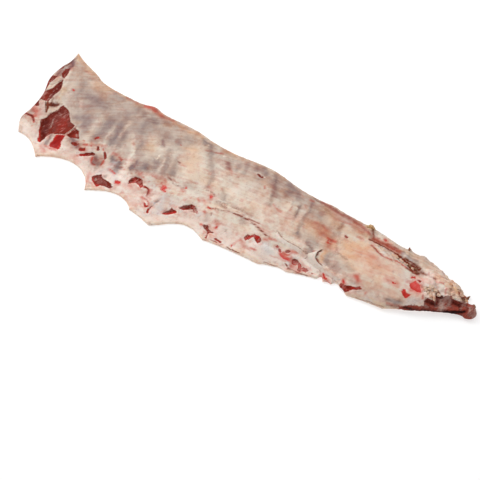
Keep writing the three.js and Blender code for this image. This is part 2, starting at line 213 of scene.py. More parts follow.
# Thin film left on bare meat
FILM = [
    ([(282, 12), (279, 4), (283, -7)], 4.6, 0.8), ([(288, 9), (287, -3)], 2.6, 0.6),
    ([(272, 0), (277, -8)], 1, 0.6), ([(264, -12), (272, -14)], 2, 0.35), ([(303, 6), (306, 14)], 2, 0.45),
    ([(312.5, 13), (314.5, 8)], 1.5, 0.9), ([(319, 14), (321, 8), (320, 3)], 1.8, 0.6),
    ([(314, 14), (318, 3)], 6, 0.3), ([(248, -20), (262, -16)], 1.2, 0.35),
    ([(-277, -17), (-272, -30)], 1.1, 0.7), ([(-272, -15), (-264, -1)], 0.8, 0.3),
    ([(-283, -12), (-279, -3)], 1.2, 0.3), ([(-282, -4), (-272, -7)], 6, 0.28),
    ([(-268, -4), (-262, -12)], 0.7, 0.3), ([(-237, -22), (-234, -24)], 1.2, 0.9),
    ([(-255, -20), (-258, -30)], 0.6, 0.25), ([(-177, -66), (-175, -68)], 1, 0.95),
    ([(-170, -64), (-167, -67)], 1.2, 0.35), ([(-163, -64), (-160, -68)], 0.8, 0.3),
    ([(-131, -37), (-130, -45)], 0.9, 0.4), ([(-125, -38), (-123, -43)], 0.7, 0.35),
    ([(-136, -42), (-135, -48)], 0.6, 0.3), ([(-310, 14), (-308, 4)], 2, 0.3),
    ([(-302, 20), (-301, 4)], 0.8, 0.25), ([(-305, 47), (-304, 56)], 1, 0.35),
    ([(104.5, -38), (105, -47)], 0.9, 0.6), ([(112.5, -42), (113, -48)], 0.7, 0.5),
    ([(45, -34), (46, -38)], 0.8, 0.4), ([(-50, -39), (-52, -43)], 0.7, 0.3),
    ([(170, -38), (174, -42)], 0.9, 0.35), ([(167, -37), (170, -44)], 0.7, 0.3),
    ([(-315, 38), (-316, 26)], 1, 0.25), ([(-60, -44), (-44, -39)], 6, 0.22),
    ([(-70, -56), (-74, -64)], 5, 0.15), ([(-20, -55), (-10, -60)], 6, 0.2),
    ([(-46, -38), (-40, -44)], 3, 0.9), ([(31, -42), (38, -35), (48, -37)], 6, 0.25),
    ([(98, -41), (118, -45)], 8, 0.5), ([(166, -41), (184, -33)], 6, 0.18),
    ([(-136, -43), (-124, -42)], 6, 0.25), ([(-180, -66), (-156, -66)], 6, 0.08),
    ([(70, -33), (86, -32)], 5, 0.4), ([(75, -37), (78, -38)], 4, 0.35), ([(36, -35), (36, -39)], 0.8, 0.3),
    ([(97.5, -40), (100, -45)], 0.8, 0.4), ([(102, -37), (104, -44)], 0.7, 0.35),
    ([(108, -40), (110, -48)], 0.8, 0.4), ([(42, -33), (43, -38)], 0.8, 0.4),
    ([(48, -35), (49, -39)], 0.7, 0.35), ([(31, -40), (35, -42)], 1.2, 0.35),
    ([(-57, -41), (-60, -46)], 0.7, 0.3), ([(-68, -55), (-72, -61)], 0.8, 0.25),
    ([(-174, -60), (-176, -66)], 0.8, 0.35), ([(-155, -64), (-157, -68)], 0.7, 0.3),
]
# Bare muscle: brighter where the strength is above nothing, darker below
FLESH_TONES = [
    ([(-264, -12), (-260, -22), (-257, -32)], 7, 0.3), ([(-286, -38), (-281, -46), (-273, -57)], 2.6, 1.1),
    ([(-284, -26), (-277, -36), (-272, -48)], 5, -0.3), ([(-247, -28), (-234, -22)], 5, 0.3),
    ([(-232, -36), (-228, -37)], 3, 0.3), ([(-316, 30), (-314, 10), (-312, 2)], 2, 0.3),
    ([(-300, 34), (-298, 10)], 3, -0.35), ([(-310, 12), (-306, 4)], 3, 0.25),
    ([(-310, -2), (-306, -10)], 3, -0.1), ([(-183, -68), (-172, -75), (-158, -71)], 1.8, 0.75),
    ([(-178, -63), (-158, -65)], 4, 0.05), ([(-138, -51), (-134, -48)], 2, 0.4),
    ([(-126, -46), (-119, -47)], 1.8, 0.7), ([(-136, -41), (-132, -44)], 3, 0.65),
    ([(-128, -40), (-122, -43)], 4, 0.35), ([(-60, -46), (-50, -39)], 3.4, 0.3),
    ([(-47, -38), (-41, -43)], 2.6, 0.7), ([(-60, -48), (-52, -46)], 1.4, 0.5),
    ([(-44, -42), (-39, -44)], 1.5, 0.4), ([(-77, -67), (-70, -64), (-63, -58)], 2.2, 0.75),
    ([(-71, -58), (-64, -56)], 3.4, 0.35), ([(-20, -55), (-11, -58)], 4, 0.2),
    ([(-12, -62), (-11, -68)], 2, 0.55), ([(32, -44), (36, -37)], 3, 0.8),
    ([(37, -35), (44, -33)], 2.4, 0.8), ([(44, -36), (48, -40)], 3, 0.6), ([(98, -42), (103, -43)], 4, 0.8),
    ([(107, -42), (118, -45)], 5, 0.8), ([(164, -40), (176, -40)], 6, 0.45),
    ([(178, -35), (187, -31)], 3, 0.5), ([(-216, -47), (-211, -44)], 1.6, 0.7),
    ([(-212, -44), (-206, -40)], 3, 0.45), ([(-219, -39), (-215, -37)], 3, 0.45),
    ([(-95, -71), (-92, -76)], 3, 0.6), ([(-189, -28), (-184, -34)], 2, 0.4),
    ([(-212, -16), (-207, -12)], 3, 0.6), ([(-202, -25), (-199, -28)], 2, 0.1),
    ([(-118, -45), (-110, -46)], 2, 0.5), ([(-104, -66), (-99, -66)], 3, 0.7),
    ([(-3, 45), (3, 44.5)], 2, 0.1), ([(136, 23), (139, 23)], 2, 0.35), ([(242, 14), (245, 13)], 2, 0.4),
    ([(0, -64), (8, -64)], 3, 0.5), ([(70, -33), (78, -38)], 4, 0.7), ([(83, -31), (86, -33)], 4, 0.5),
    ([(-252, -36), (-251, -50)], 6, -0.7), ([(-37, -13), (-37, -15)], 3, 0.5),
    ([(-71, -18), (-71, -20)], 3, 0.5), ([(-150, -56), (-148, -57)], 5, 0.15),
    ([(-97, -32), (-95, -36)], 6, 0.3), ([(-169, -46), (-161, -48)], 4, 0.7),
    ([(238, 8), (248, 4)], 4, 0.45), ([(238, 1), (250, 0)], 3, -0.1), ([(80, -42), (92, -42)], 5, 0.5),
    ([(126, -44), (127, -44)], 2, 0.6), ([(93, -50), (96, -51)], 2, 0.3),
    ([(-107, -59), (-99, -63)], 2, 0.7),
]
BLOOD_PATCHES = [
    [(-259, -37), (-256, -34), (-249, -32), (-247, -42), (-242, -52), (-244, -55), (-251, -56), (-258, -56),
     (-258, -48)],
    [(-155, -57), (-152, -53.5), (-147, -52.5), (-145.5, -55.5), (-148, -58.5), (-153, -60)],
    [(238.5, 13), (241.5, 11), (246, 9), (250.5, 5), (252, 1), (248, -1.5), (240, -1), (236, 1), (234.5, 5),
     (237, 8)],
    [(231.5, -5.5), (235, -5.5), (238, -8.5), (243.5, -7), (243, -12), (240.5, -15.5), (235.5, -14),
     (232, -11)],
]
BLOOD_STREAKS = [
    ([(233, 13.5), (237, 15.5)], 1.1),
    ([(-169, -45), (-165, -45), (-162, -47.5)], 1.2),
    ([(-97.5, -31), (-94, -30.5), (-91, -31)], 1.1),
    ([(-97, -34), (-93, -33.5)], 1.3),
    ([(-97, -37), (-91, -36.5)], 1.4),
    ([(-71, -18), (-71, -20)], 0.9),
    ([(-37, -13), (-37, -15)], 1.5),
    ([(-31, -29), (-29, -28.5)], 1.1),
    ([(-281, 34), (-279, 34)], 0.9),
    ([(80, -41), (84, -42)], 1.3),
    ([(86, -43), (91, -42.5)], 1.4),
    ([(138, -37), (141, -41), (144, -42)], 1.2),
    ([(163, -33), (165, -35)], 1.4),
    ([(181, 44), (182, 44)], 0.9),
    ([(217, -3.5), (219, -3.5)], 1.2),
    ([(-8.5, -46.5), (-8, -49.5)], 0.9),
    ([(121, 7), (122.5, 4.5)], 1.3),
    ([(22, -60), (22.5, -62)], 0.9),
    ([(113.5, -31), (115, -32)], 0.8),
    ([(-113, 33), (-111, 33)], 0.9),
]
# How darkly the muscle shows through the membrane: above nothing grey-mauve, below nothing cream.
# The mark also carries painted light: it is paler at the outline, darker in hollows, and four tiny white
# flecks are painted highlights
DUSK_AND_PAINTED_LIGHT = [
    # broad tones
    ([(-290, 42), (-160, 44)], 26, 0.28), ([(-262, 10), (-180, 8)], 24, 0.2),
    ([(-170, 30), (-100, 36)], 24, 0.12), ([(-150, -4), (-96, -6)], 14, 0.22),
    ([(-80, 2), (60, 0)], 30, -0.4), ([(-90, -30), (-40, -30), (20, -32), (60, -34)], 8, -0.4),
    ([(60, -30), (110, -34), (160, -35)], 7, -0.6), ([(200, 0), (228, -14)], 9, -0.15),
    ([(170, 38), (190, 38.5), (204, 38)], 4, -0.7), ([(170, -20), (182, -24)], 6, -0.4),
    ([(-60, 44), (40, 48)], 14, 0.1), ([(40, 46), (86, 40)], 12, 0.2), ([(92, 34), (100, 22)], 8, 0.15),
    ([(160, 4), (230, 8)], 22, -0.85), ([(146, 22), (160, 26)], 10, -0.3),
    ([(200, -12), (222, -18)], 9, -0.25), ([(-292, 64), (-270, 60)], 9, 0.1),
    # bands over the broad end
    ([(-309, 76), (-305, 64)], 4.5, 0.9), ([(-315, 58), (-312, 44)], 4, 0.7),
    ([(-292, 0), (-287, 3)], 3, 0.7), ([(-314, -18), (-306, -24)], 4, 0.3),
    ([(-265, 59), (-238, 58)], 6, -0.3), ([(-274, 50), (-271, 28)], 4, 0.2),
    ([(-256, 36), (-228, 34)], 6, 0.35), ([(-246, 22), (-240, 30)], 5, 0.15),
    ([(-250, 0), (-239, 5), (-234, -12)], 8, 0.55), ([(-211, 16), (-210, -2), (-213, -16)], 6.5, 0.5),
    ([(-206, 28), (-205, 12)], 4, 0.25), ([(-196, 22), (-193, 8)], 5, 0.4),
    ([(-191, 0), (-190, -10)], 5, 0.7), ([(-184, 12), (-181, 0), (-182, -10)], 4, 0.35),
    ([(-198, 40), (-192, 32)], 5, 0.25), ([(-176, 48), (-158, 46)], 5, 0.3),
    ([(-170, 38), (-166, 24)], 4, 0.3), ([(-158, 12), (-154, -6)], 2.6, 0.3),
    ([(-238, 58), (-216, 56)], 4, 0.25), ([(-190, 52), (-180, 54)], 4, 0.2),
    ([(-182, 62), (-160, 61)], 4, -0.3), ([(-176, -29), (-173, -33)], 4, 1),
    ([(-165, -32), (-161, -42)], 4.5, 1.15), ([(-196, -40), (-190, -46)], 5, 1),
    ([(-147, -16), (-147, -32)], 2.8, 0.7), ([(-145, -30), (-137, -24), (-131, -20)], 5, 0.75),
    ([(-142, -20), (-136, -16)], 4.5, 0.35), ([(-125, -4), (-121, -16)], 4.5, 0.4),
    ([(-119, 18), (-112, 0), (-107, -14)], 4, 0.45), ([(-104, 9), (-99, -4), (-97, -12)], 3.4, 0.4),
    ([(-136, 38), (-124, 30)], 6, 0.25), ([(-136, 27), (-130, 22)], 2.6, 0.55),
    ([(-119, 38), (-115, 33)], 4, 0.4), ([(-148, 53), (-132, 52)], 4, 0.1),
    ([(-110, 46), (-98, 44)], 5, 0.35), ([(-90, 55), (-84, 53), (-76, 51)], 3.6, 0.7),
    ([(-72, 44), (-65, 30), (-55, 19), (-49, 9), (-48, -5)], 3.8, 0.6), ([(-44, 41), (-41, 35)], 3.4, 0.6),
    ([(-30, 46), (-30, 38)], 3, 0.4), ([(-21, 50), (-21, 38)], 3, 0.45), ([(1, 58), (3, 51)], 5, 0.65),
    ([(-10, 55), (-7, 51)], 4, 0.4), ([(0, 40), (4, 43)], 3, 0.4), ([(18, 56), (20, 48)], 3, 0.5),
    ([(22, 43), (27, 36), (31, 28)], 5, 0.65), ([(29, 26), (31, 15)], 3, 0.45),
    ([(39, 54), (46, 48), (45, 37)], 5, 0.45), ([(54, 48), (60, 40)], 3.4, 0.45),
    ([(57, 34), (58, 26)], 1.6, 0.3), ([(66, 33), (66, 22), (68, 15)], 2.2, 0.7),
    ([(79, 42), (79, 20), (81, 6), (82, -2)], 2.6, 0.5), ([(83, -3), (86, -8)], 4, 0.6),
    ([(94, 38), (96, 30)], 4, 0.3), ([(98, -9), (105, -12), (111, -16), (107, -22)], 3.6, 0.65),
    ([(102, -2), (110, -6)], 5, 0.3), ([(-28, 4), (-24, -10)], 4, 0.35), ([(-21, -3), (-20, -8)], 2.4, 0.5),
    ([(-82, -12), (-56, -16)], 5, 0.25), ([(-100, -8), (-96, -14)], 4, 0.3),
    ([(14, -23), (20, -26)], 3.6, 0.5), ([(-28, -36), (-24, -46)], 4, 0.5),
    # past the torn tab, along the roll, and round the knife marks of the fringe
    ([(132, -14), (136, -22)], 4, 0.45), ([(142, -12), (152, -22)], 5.5, 0.4),
    ([(141, -4), (154, -4.5)], 2.2, 0.5), ([(154, -10), (163, -14)], 6, 0.5),
    ([(138, -26), (150, -27)], 3, 0.5), ([(207, 39), (218, 37), (230, 35)], 3, 0.9),
    ([(222, 33), (240, 28)], 1.6, 0.4), ([(224, -27), (236, -25)], 4, 1),
    ([(-108, -48), (-107, -54)], 2, 0.7), ([(-186, -51), (-184, -56)], 3, 0.2),
    ([(-91, -53), (-95, -66)], 1.4, 1.1), ([(-171, -58), (-166, -56)], 1.8, 0.8),
    ([(-237, -33), (-227, -37)], 5, 1), ([(-79, -62), (-74, -58)], 2.6, 0.5),
    ([(-58, -36), (-50, -34)], 3, 0.35), ([(196, -20), (226, -20)], 7, -0.3),
    ([(-45, -44), (-38, -44)], 2.6, 0.4), ([(255, -9), (253, -11)], 1.6, 0.5),
    ([(172, -28), (182, -30)], 3, 0.4), ([(246, -16), (256, -12)], 4, 0.25),
    ([(184, 30), (190, 28)], 2.6, -0.6), ([(197, 29), (206, 29)], 2.6, -0.6),
    ([(-264, -41), (-262, -55)], 3, 0.95), ([(-314, -34), (-311, -44), (-305, -54)], 3, 0.5),
    ([(-268, -70), (-264, -78)], 4, 0.35), ([(-183, -80), (-181, -88)], 3, 0.6),
    # pale strips and thick pads
    ([(-302, 66), (-299, 48), (-293, 30), (-289, 12)], 2.4, -0.35), ([(-288, 50), (-286, 26)], 4.5, -0.25),
    ([(-312, 28), (-305, 42)], 2.5, -0.6), ([(-262, 24), (-256, 17)], 2, -0.35),
    ([(-224, 20), (-224, -14)], 4, -0.1), ([(-201, 12), (-201, -6)], 1.8, -0.4),
    ([(-188, 30), (-187, 4)], 2, -0.4), ([(-174, 14), (-170, -2)], 4.5, -0.25),
    ([(-166, 6), (-159, -8), (-155, -26), (-152, -46)], 3.2, -0.5),
    ([(-148, 22), (-141, 6), (-134, 14)], 8, -0.4), ([(-127.5, 5), (-127, -1)], 1.1, -0.8),
    ([(-117, 4), (-115, -12)], 1.8, -0.35), ([(-92, 40), (-72, 8)], 12, -0.3),
    ([(86, -14), (96, -16)], 5, -0.7), ([(124, -10), (125, -24)], 3.2, -0.5),
    ([(53, 30), (54, 8)], 3, -0.25), ([(172, 45), (190, 45)], 3, -0.5),
    ([(-204, -18), (-172, -9)], 0.8, -0.4), ([(-202, -21), (-176, -14)], 0.7, -0.3),
    # Four tiny white flecks: painted highlights
    ([(-54, 47), (-52, 47)], 1, -1.2), ([(-81.5, 51), (-80.5, 51)], 0.9, -1.2),
    ([(63.5, 27.5), (64.5, 27)], 1, -1.4), ([(4, 46), (5, 46)], 1, -2),
]
# Warm peach: thin fat and stained membrane
PEACH = [
    ([(-309, 88), (-298, 80), (-282, 74)], 6, 0.7), ([(-285, 72), (-262, 69), (-240, 62)], 5, 0.8),
    ([(-248, 58), (-236, 58)], 4, 0.6), ([(-262, 57), (-240, 50)], 7, 0.5),
    ([(-235, 61), (-190, 60)], 3, 0.6), ([(-160, 60), (-130, 58), (-95, 58)], 3.6, 0.9),
    ([(-60, 56), (-30, 57), (-6, 61), (30, 58)], 3, 0.5), ([(-94, 34), (-80, 10)], 12, 0.6),
    ([(-66, 14), (-58, 4)], 8, 0.4), ([(16, -4), (28, -4)], 6, 0.3), ([(8, 40), (12, 36)], 4, 0.4),
    ([(92, 16), (112, 14), (128, 4)], 11, 1), ([(96, 44), (124, 30)], 9, 0.8),
    ([(76, 12), (74, -8)], 5, 0.4), ([(140, 14), (166, 18)], 11, 0.9), ([(140, 42), (160, 36)], 7, 0.7),
    ([(132, 30), (156, 32)], 7, 0.5), ([(150, 4), (202, 8)], 14, 0.7), ([(158, -8), (200, -12)], 9, 0.6),
    ([(125, -8), (126, -24)], 3.2, 1), ([(260, 31), (278, 30)], 5, 0.8), ([(-304, 52), (-316, 40)], 5, 0.3),
    ([(-148, 52), (-138, 52)], 3, 0.5), ([(210, 43), (256, 38)], 5, 0.5), ([(288, 24), (303, 20)], 5, 0.5),
    ([(280, 24), (284, 16)], 4, 0.7), ([(168, 37.5), (186, 38), (204, 37.5)], 4, 0.9),
    ([(-144, 12), (-140, 8)], 6, 0.35), ([(262, 8), (268, 2)], 3, 0.5),
    ([(-304, -36), (-298, -50)], 8, 0.08), ([(-30, 8), (60, 4)], 20, 0.12),
    ([(184, -20), (232, -18)], 9, 0.35), ([(36, 40), (44, 36)], 4, 0.4),
]
# Yellow tallow: fat that has dried at the rims
TALLOW = [
    ([(-308, 86), (-300, 80)], 4, 0.35), ([(-270, -72), (-263, -78), (-250, -70)], 4, 0.25),
    ([(-312, -40), (-304, -55)], 3, 0.15), ([(-184, -80), (-181, -88)], 4, 0.35),
    ([(-174, -79), (-150, -76), (-130, -74)], 3, 0.3),
    ([(-118, -80), (-84, -87), (-64, -76), (-50, -68)], 3, 0.2),
    ([(-291, 30), (-288, 14), (-284, 8)], 4, 0.3), ([(-20, -70), (-6, -70)], 2, 0.4),
    ([(20, -65), (60, -62)], 2, 0.3), ([(204, -38), (222, -39)], 3, 0.4),
    ([(280, 30), (296, 24), (304, 22)], 4, 0.7), ([(-146, 20), (-140, 12)], 7, 0.2),
    ([(152, 50), (160, 50)], 3, 0.9),
]
# Pink and red stains
ROSE = [
    ([(-184, 62), (-178, 63), (-168, 62)], 3.6, 1.1), ([(-170, 61), (-156, 59)], 3.6, 0.75),
    ([(-212, 60), (-196, 60)], 2, 0.5), ([(-156, 60), (-140, 60)], 2, 0.5),
    ([(-311, -14), (-300, -20)], 6, 0.75), ([(-300, -14), (-300, -27)], 2.6, 0.7),
    ([(-316, -29), (-309, -28), (-303, -28), (-298, -32), (-295, -35)], 1.5, 1.6),
    ([(-316, -24), (-309, -17)], 2, 0.9), ([(-281, 34), (-279, 34)], 2.2, 0.8),
    ([(-315, 56), (-311, 42)], 4, 0.5), ([(-309, 72), (-304, 62)], 4, 0.6),
    ([(-284, 68), (-274, 67)], 1.8, 0.4), ([(-262, 22), (-254, 18)], 4, 0.2),
    ([(-216, -30), (-206, -24), (-194, -18)], 2.4, 0.5), ([(-212, -23), (-208, -25)], 2, 0.5),
    ([(-200, -20), (-196, -19)], 3, 0.4), ([(-180, -22), (-174, -22)], 2.4, 0.8),
    ([(-169, -23), (-164, -27)], 1.4, 0.9), ([(-194, -24), (-192, -26)], 1.6, 0.9),
    ([(-219, -31), (-216, -30)], 2, 0.9), ([(-222, -38), (-213, -38)], 3, 0.7),
    ([(-236, -32), (-227, -34)], 3, 0.5), ([(-218, -50), (-212, -45)], 2, 0.5),
    ([(-188, -64), (-185, -76)], 3, 0.45), ([(-266, -60), (-258, -66)], 2.6, 0.55),
    ([(-262, -58), (-246, -57)], 2, 0.8), ([(-222, -54), (-210, -56)], 4, 0.35),
    ([(-171, -45.5), (-161, -47.5)], 2, 0.7), ([(-212, -16), (-206, -12)], 2.6, 0.6),
    ([(-199, -42), (-196, -48), (-190, -50)], 1.8, 1.1), ([(-184, -38), (-183, -46)], 1.6, 1.1),
    ([(-196, -42), (-190, -46)], 4, 0.4), ([(-152, -57), (-148, -59)], 3, 0.8),
    ([(-142, -30), (-132, -28)], 1.6, 0.4), ([(-124, -26), (-116, -24)], 2.6, 0.5),
    ([(-114, -23), (-104, -21)], 3.6, 0.45), ([(-101, -21), (-98, -24)], 2, 0.8),
    ([(-133, -33), (-126, -34)], 2, 0.6), ([(-138, -54), (-126, -55)], 5, 0.3),
    ([(-138, -68), (-136, -66)], 2, 0.5), ([(-125, -70), (-114, -72)], 6, 0.25),
    ([(-111, -45), (-106, -44)], 1.4, 0.8), ([(-109, -46), (-107, -54)], 1.6, 0.9),
    ([(-112, -59), (-106, -60)], 1.6, 0.7),
    ([(-106, -60), (-99, -62), (-98, -66), (-101, -69), (-105, -66)], 1.4, 0.9),
    ([(-96, -34), (-93, -34)], 4, 0.7), ([(-134, 26), (-131, 23)], 2, 0.5),
    ([(-119, 35), (-117, 34)], 2.4, 0.4), ([(-165, 5), (-163, 2)], 1.6, 0.5),
    ([(-98, 9), (-90, 8)], 2.4, 0.45), ([(-72, -17), (-71, -24)], 2.2, 0.45),
    ([(-100, -17), (-84, -18)], 1.4, 0.5), ([(-79, 42), (-72, 45)], 1.6, 0.4),
    ([(-68, 46), (-58, 50)], 1.5, 0.75), ([(-75, -12), (-62, -5)], 1.4, 0.4),
    ([(-45, 40), (-38, 33)], 4, 0.5), ([(-35, 32), (-31, 28)], 2, 0.5), ([(-30, 31), (-22, 30)], 1.2, 0.5),
    ([(-22, 31), (-18, 33)], 2, 0.35), ([(-76, 20), (-72, 24)], 3, 0.25),
    ([(-58, 15), (-56, 15)], 1.8, 0.6), ([(-47, -3), (-42, -5)], 3, 0.5),
    ([(-50, -24), (-46, -27)], 1.6, 0.9), ([(-44, -22), (-38, -24)], 3, 0.5),
    ([(-38, -12), (-36, -16)], 3, 0.7), ([(-32, -29), (-24, -27)], 1.4, 0.8),
    ([(-33, -36), (-31, -38)], 2, 0.6), ([(-32, 4), (-31, 3)], 1.6, 0.5),
    ([(-9, -44), (-8, -51)], 2.4, 0.8), ([(-14, -42), (-8, -42)], 3, 0.4),
    ([(-27, -55), (-23, -55)], 2, 0.6), ([(-2, 1), (0, 1)], 1.6, 0.7), ([(13, 34), (15, 32)], 1.8, 0.9),
    ([(-22, 34), (-14, 36)], 3, 0.25), ([(20, 30), (22, 28)], 2, 0.4),
    ([(36, 17), (44, 14), (50, 12)], 1.6, 0.7), ([(30, 10), (44, -6)], 7, 0.25),
    ([(48, 12), (64, 8)], 4, 0.25), ([(58, 26), (59, 20)], 1.4, 0.5), ([(62, 47), (64, 46)], 1.6, 0.5),
    ([(73, 46), (78, 46)], 2, 0.6), ([(71, 36), (73, 34)], 2, 0.4), ([(94, 38), (97, 34)], 2.4, 0.2),
    ([(85, 8), (87, 5)], 1.6, 0.45), ([(57, -28), (60, -27), (65, -27)], 1.8, 0.7),
    ([(-10, -22), (10, -18.5), (30, -20), (52, -26)], 1.6, 0.3), ([(18, -17), (36, -16)], 1.4, 0.35),
    ([(27, -48), (24, -54), (22.5, -62)], 1.8, 0.6), ([(29, -52), (36, -54), (42, -54)], 2.6, 0.4),
    ([(44, -52), (49, -51.5)], 2, 1), ([(42, -55), (45, -56)], 1.2, 0.7),
    ([(19, -43), (20, -45)], 1.4, 0.5), ([(86, -31), (96, -28)], 3, 0.7),
    ([(80, -40.5), (92, -42)], 2.8, 1), ([(82, -46), (90, -46)], 2, 0.6),
    ([(82, -37), (87, -38), (91, -33)], 1.8, 0.7), ([(68, -33), (80, -38)], 3, 0.3),
    ([(70, -49), (84, -46)], 1, 0.6), ([(52, -32), (56, -30)], 2.4, 0.5),
    ([(104, 22), (109, 20)], 2.4, 0.6), ([(92, -36), (100, -50), (112, -50)], 2.4, 0.5),
    ([(96, 20), (108, 12), (112, 18)], 6, 0.4), ([(119, 9), (129, 9)], 2.6, 1),
    ([(120, 4), (126, 4)], 2.4, 0.9), ([(112, 10), (134, 0)], 8, 0.35),
    ([(112, -16), (118, -14)], 1.4, 0.7), ([(88, 51), (128, 48), (146, 46), (160, 42)], 3.2, 0.7),
    ([(110, 46), (130, 44), (150, 40)], 6, 0.45), ([(150, 30), (158, 29)], 2.6, 0.5),
    ([(158, 20), (164, 14)], 5, 0.3), ([(175, -21), (180, -24)], 4.4, 0.9),
    ([(134, -16), (152, -22)], 7, 0.2), ([(163, -32), (166, -36)], 3, 0.9),
    ([(208, -4), (222, -3)], 5, 0.5), ([(212, 0), (216, 2)], 2, 0.4), ([(166, 12), (204, 9)], 13, 0.32),
    ([(204, 9), (232, 8)], 12, 0.14), ([(14, 16), (60, 8), (80, -2)], 18, 0.12),
    ([(186, -20), (232, -17)], 8, 0.2),
    ([(170, 28), (178, 25), (186, 23), (194, 21.5), (200, 23), (208, 24.5), (214, 24),
     (222, 21.5)], 1, 1.1),
    ([(168, 38), (186, 38), (204, 37.5)], 4, 0.75), ([(-30, 46), (60, 46)], 10, 0.16),
    ([(20, 44), (32, 28)], 4, 0.4), ([(180, 44), (183, 44)], 2.2, 0.8),
    ([(195, -33), (195, -36)], 1.4, 0.6), ([(234, 14), (238, 14)], 4, 0.6),
    ([(232, 6), (242, 12), (252, 6), (250, -2), (240, -3)], 3, 0.7), ([(232, -8), (243, -12)], 3, 0.5),
    ([(262, 24), (272, 27)], 1.2, 0.8), ([(276, 21), (278, 15)], 1.8, 0.8),
    ([(248, 31), (249, 28)], 1.4, 0.6), ([(256, -1), (258, -5)], 1.8, 0.7),
    ([(240, 18), (258, 20)], 7, 0.3), ([(224, -33), (242, -27)], 1.6, 0.5), ([(236, 6), (228, 26)], 3, 0.2),
    ([(229, 25), (236, 21)], 3, 0.8), ([(138, -40), (150, -44)], 3.4, 0.8),
    ([(172, -25), (186, -27)], 4, 0.3), ([(110, -27), (117, -31)], 2.4, 0.3),
    ([(168, 25), (172, 31)], 4, 0.4),
]
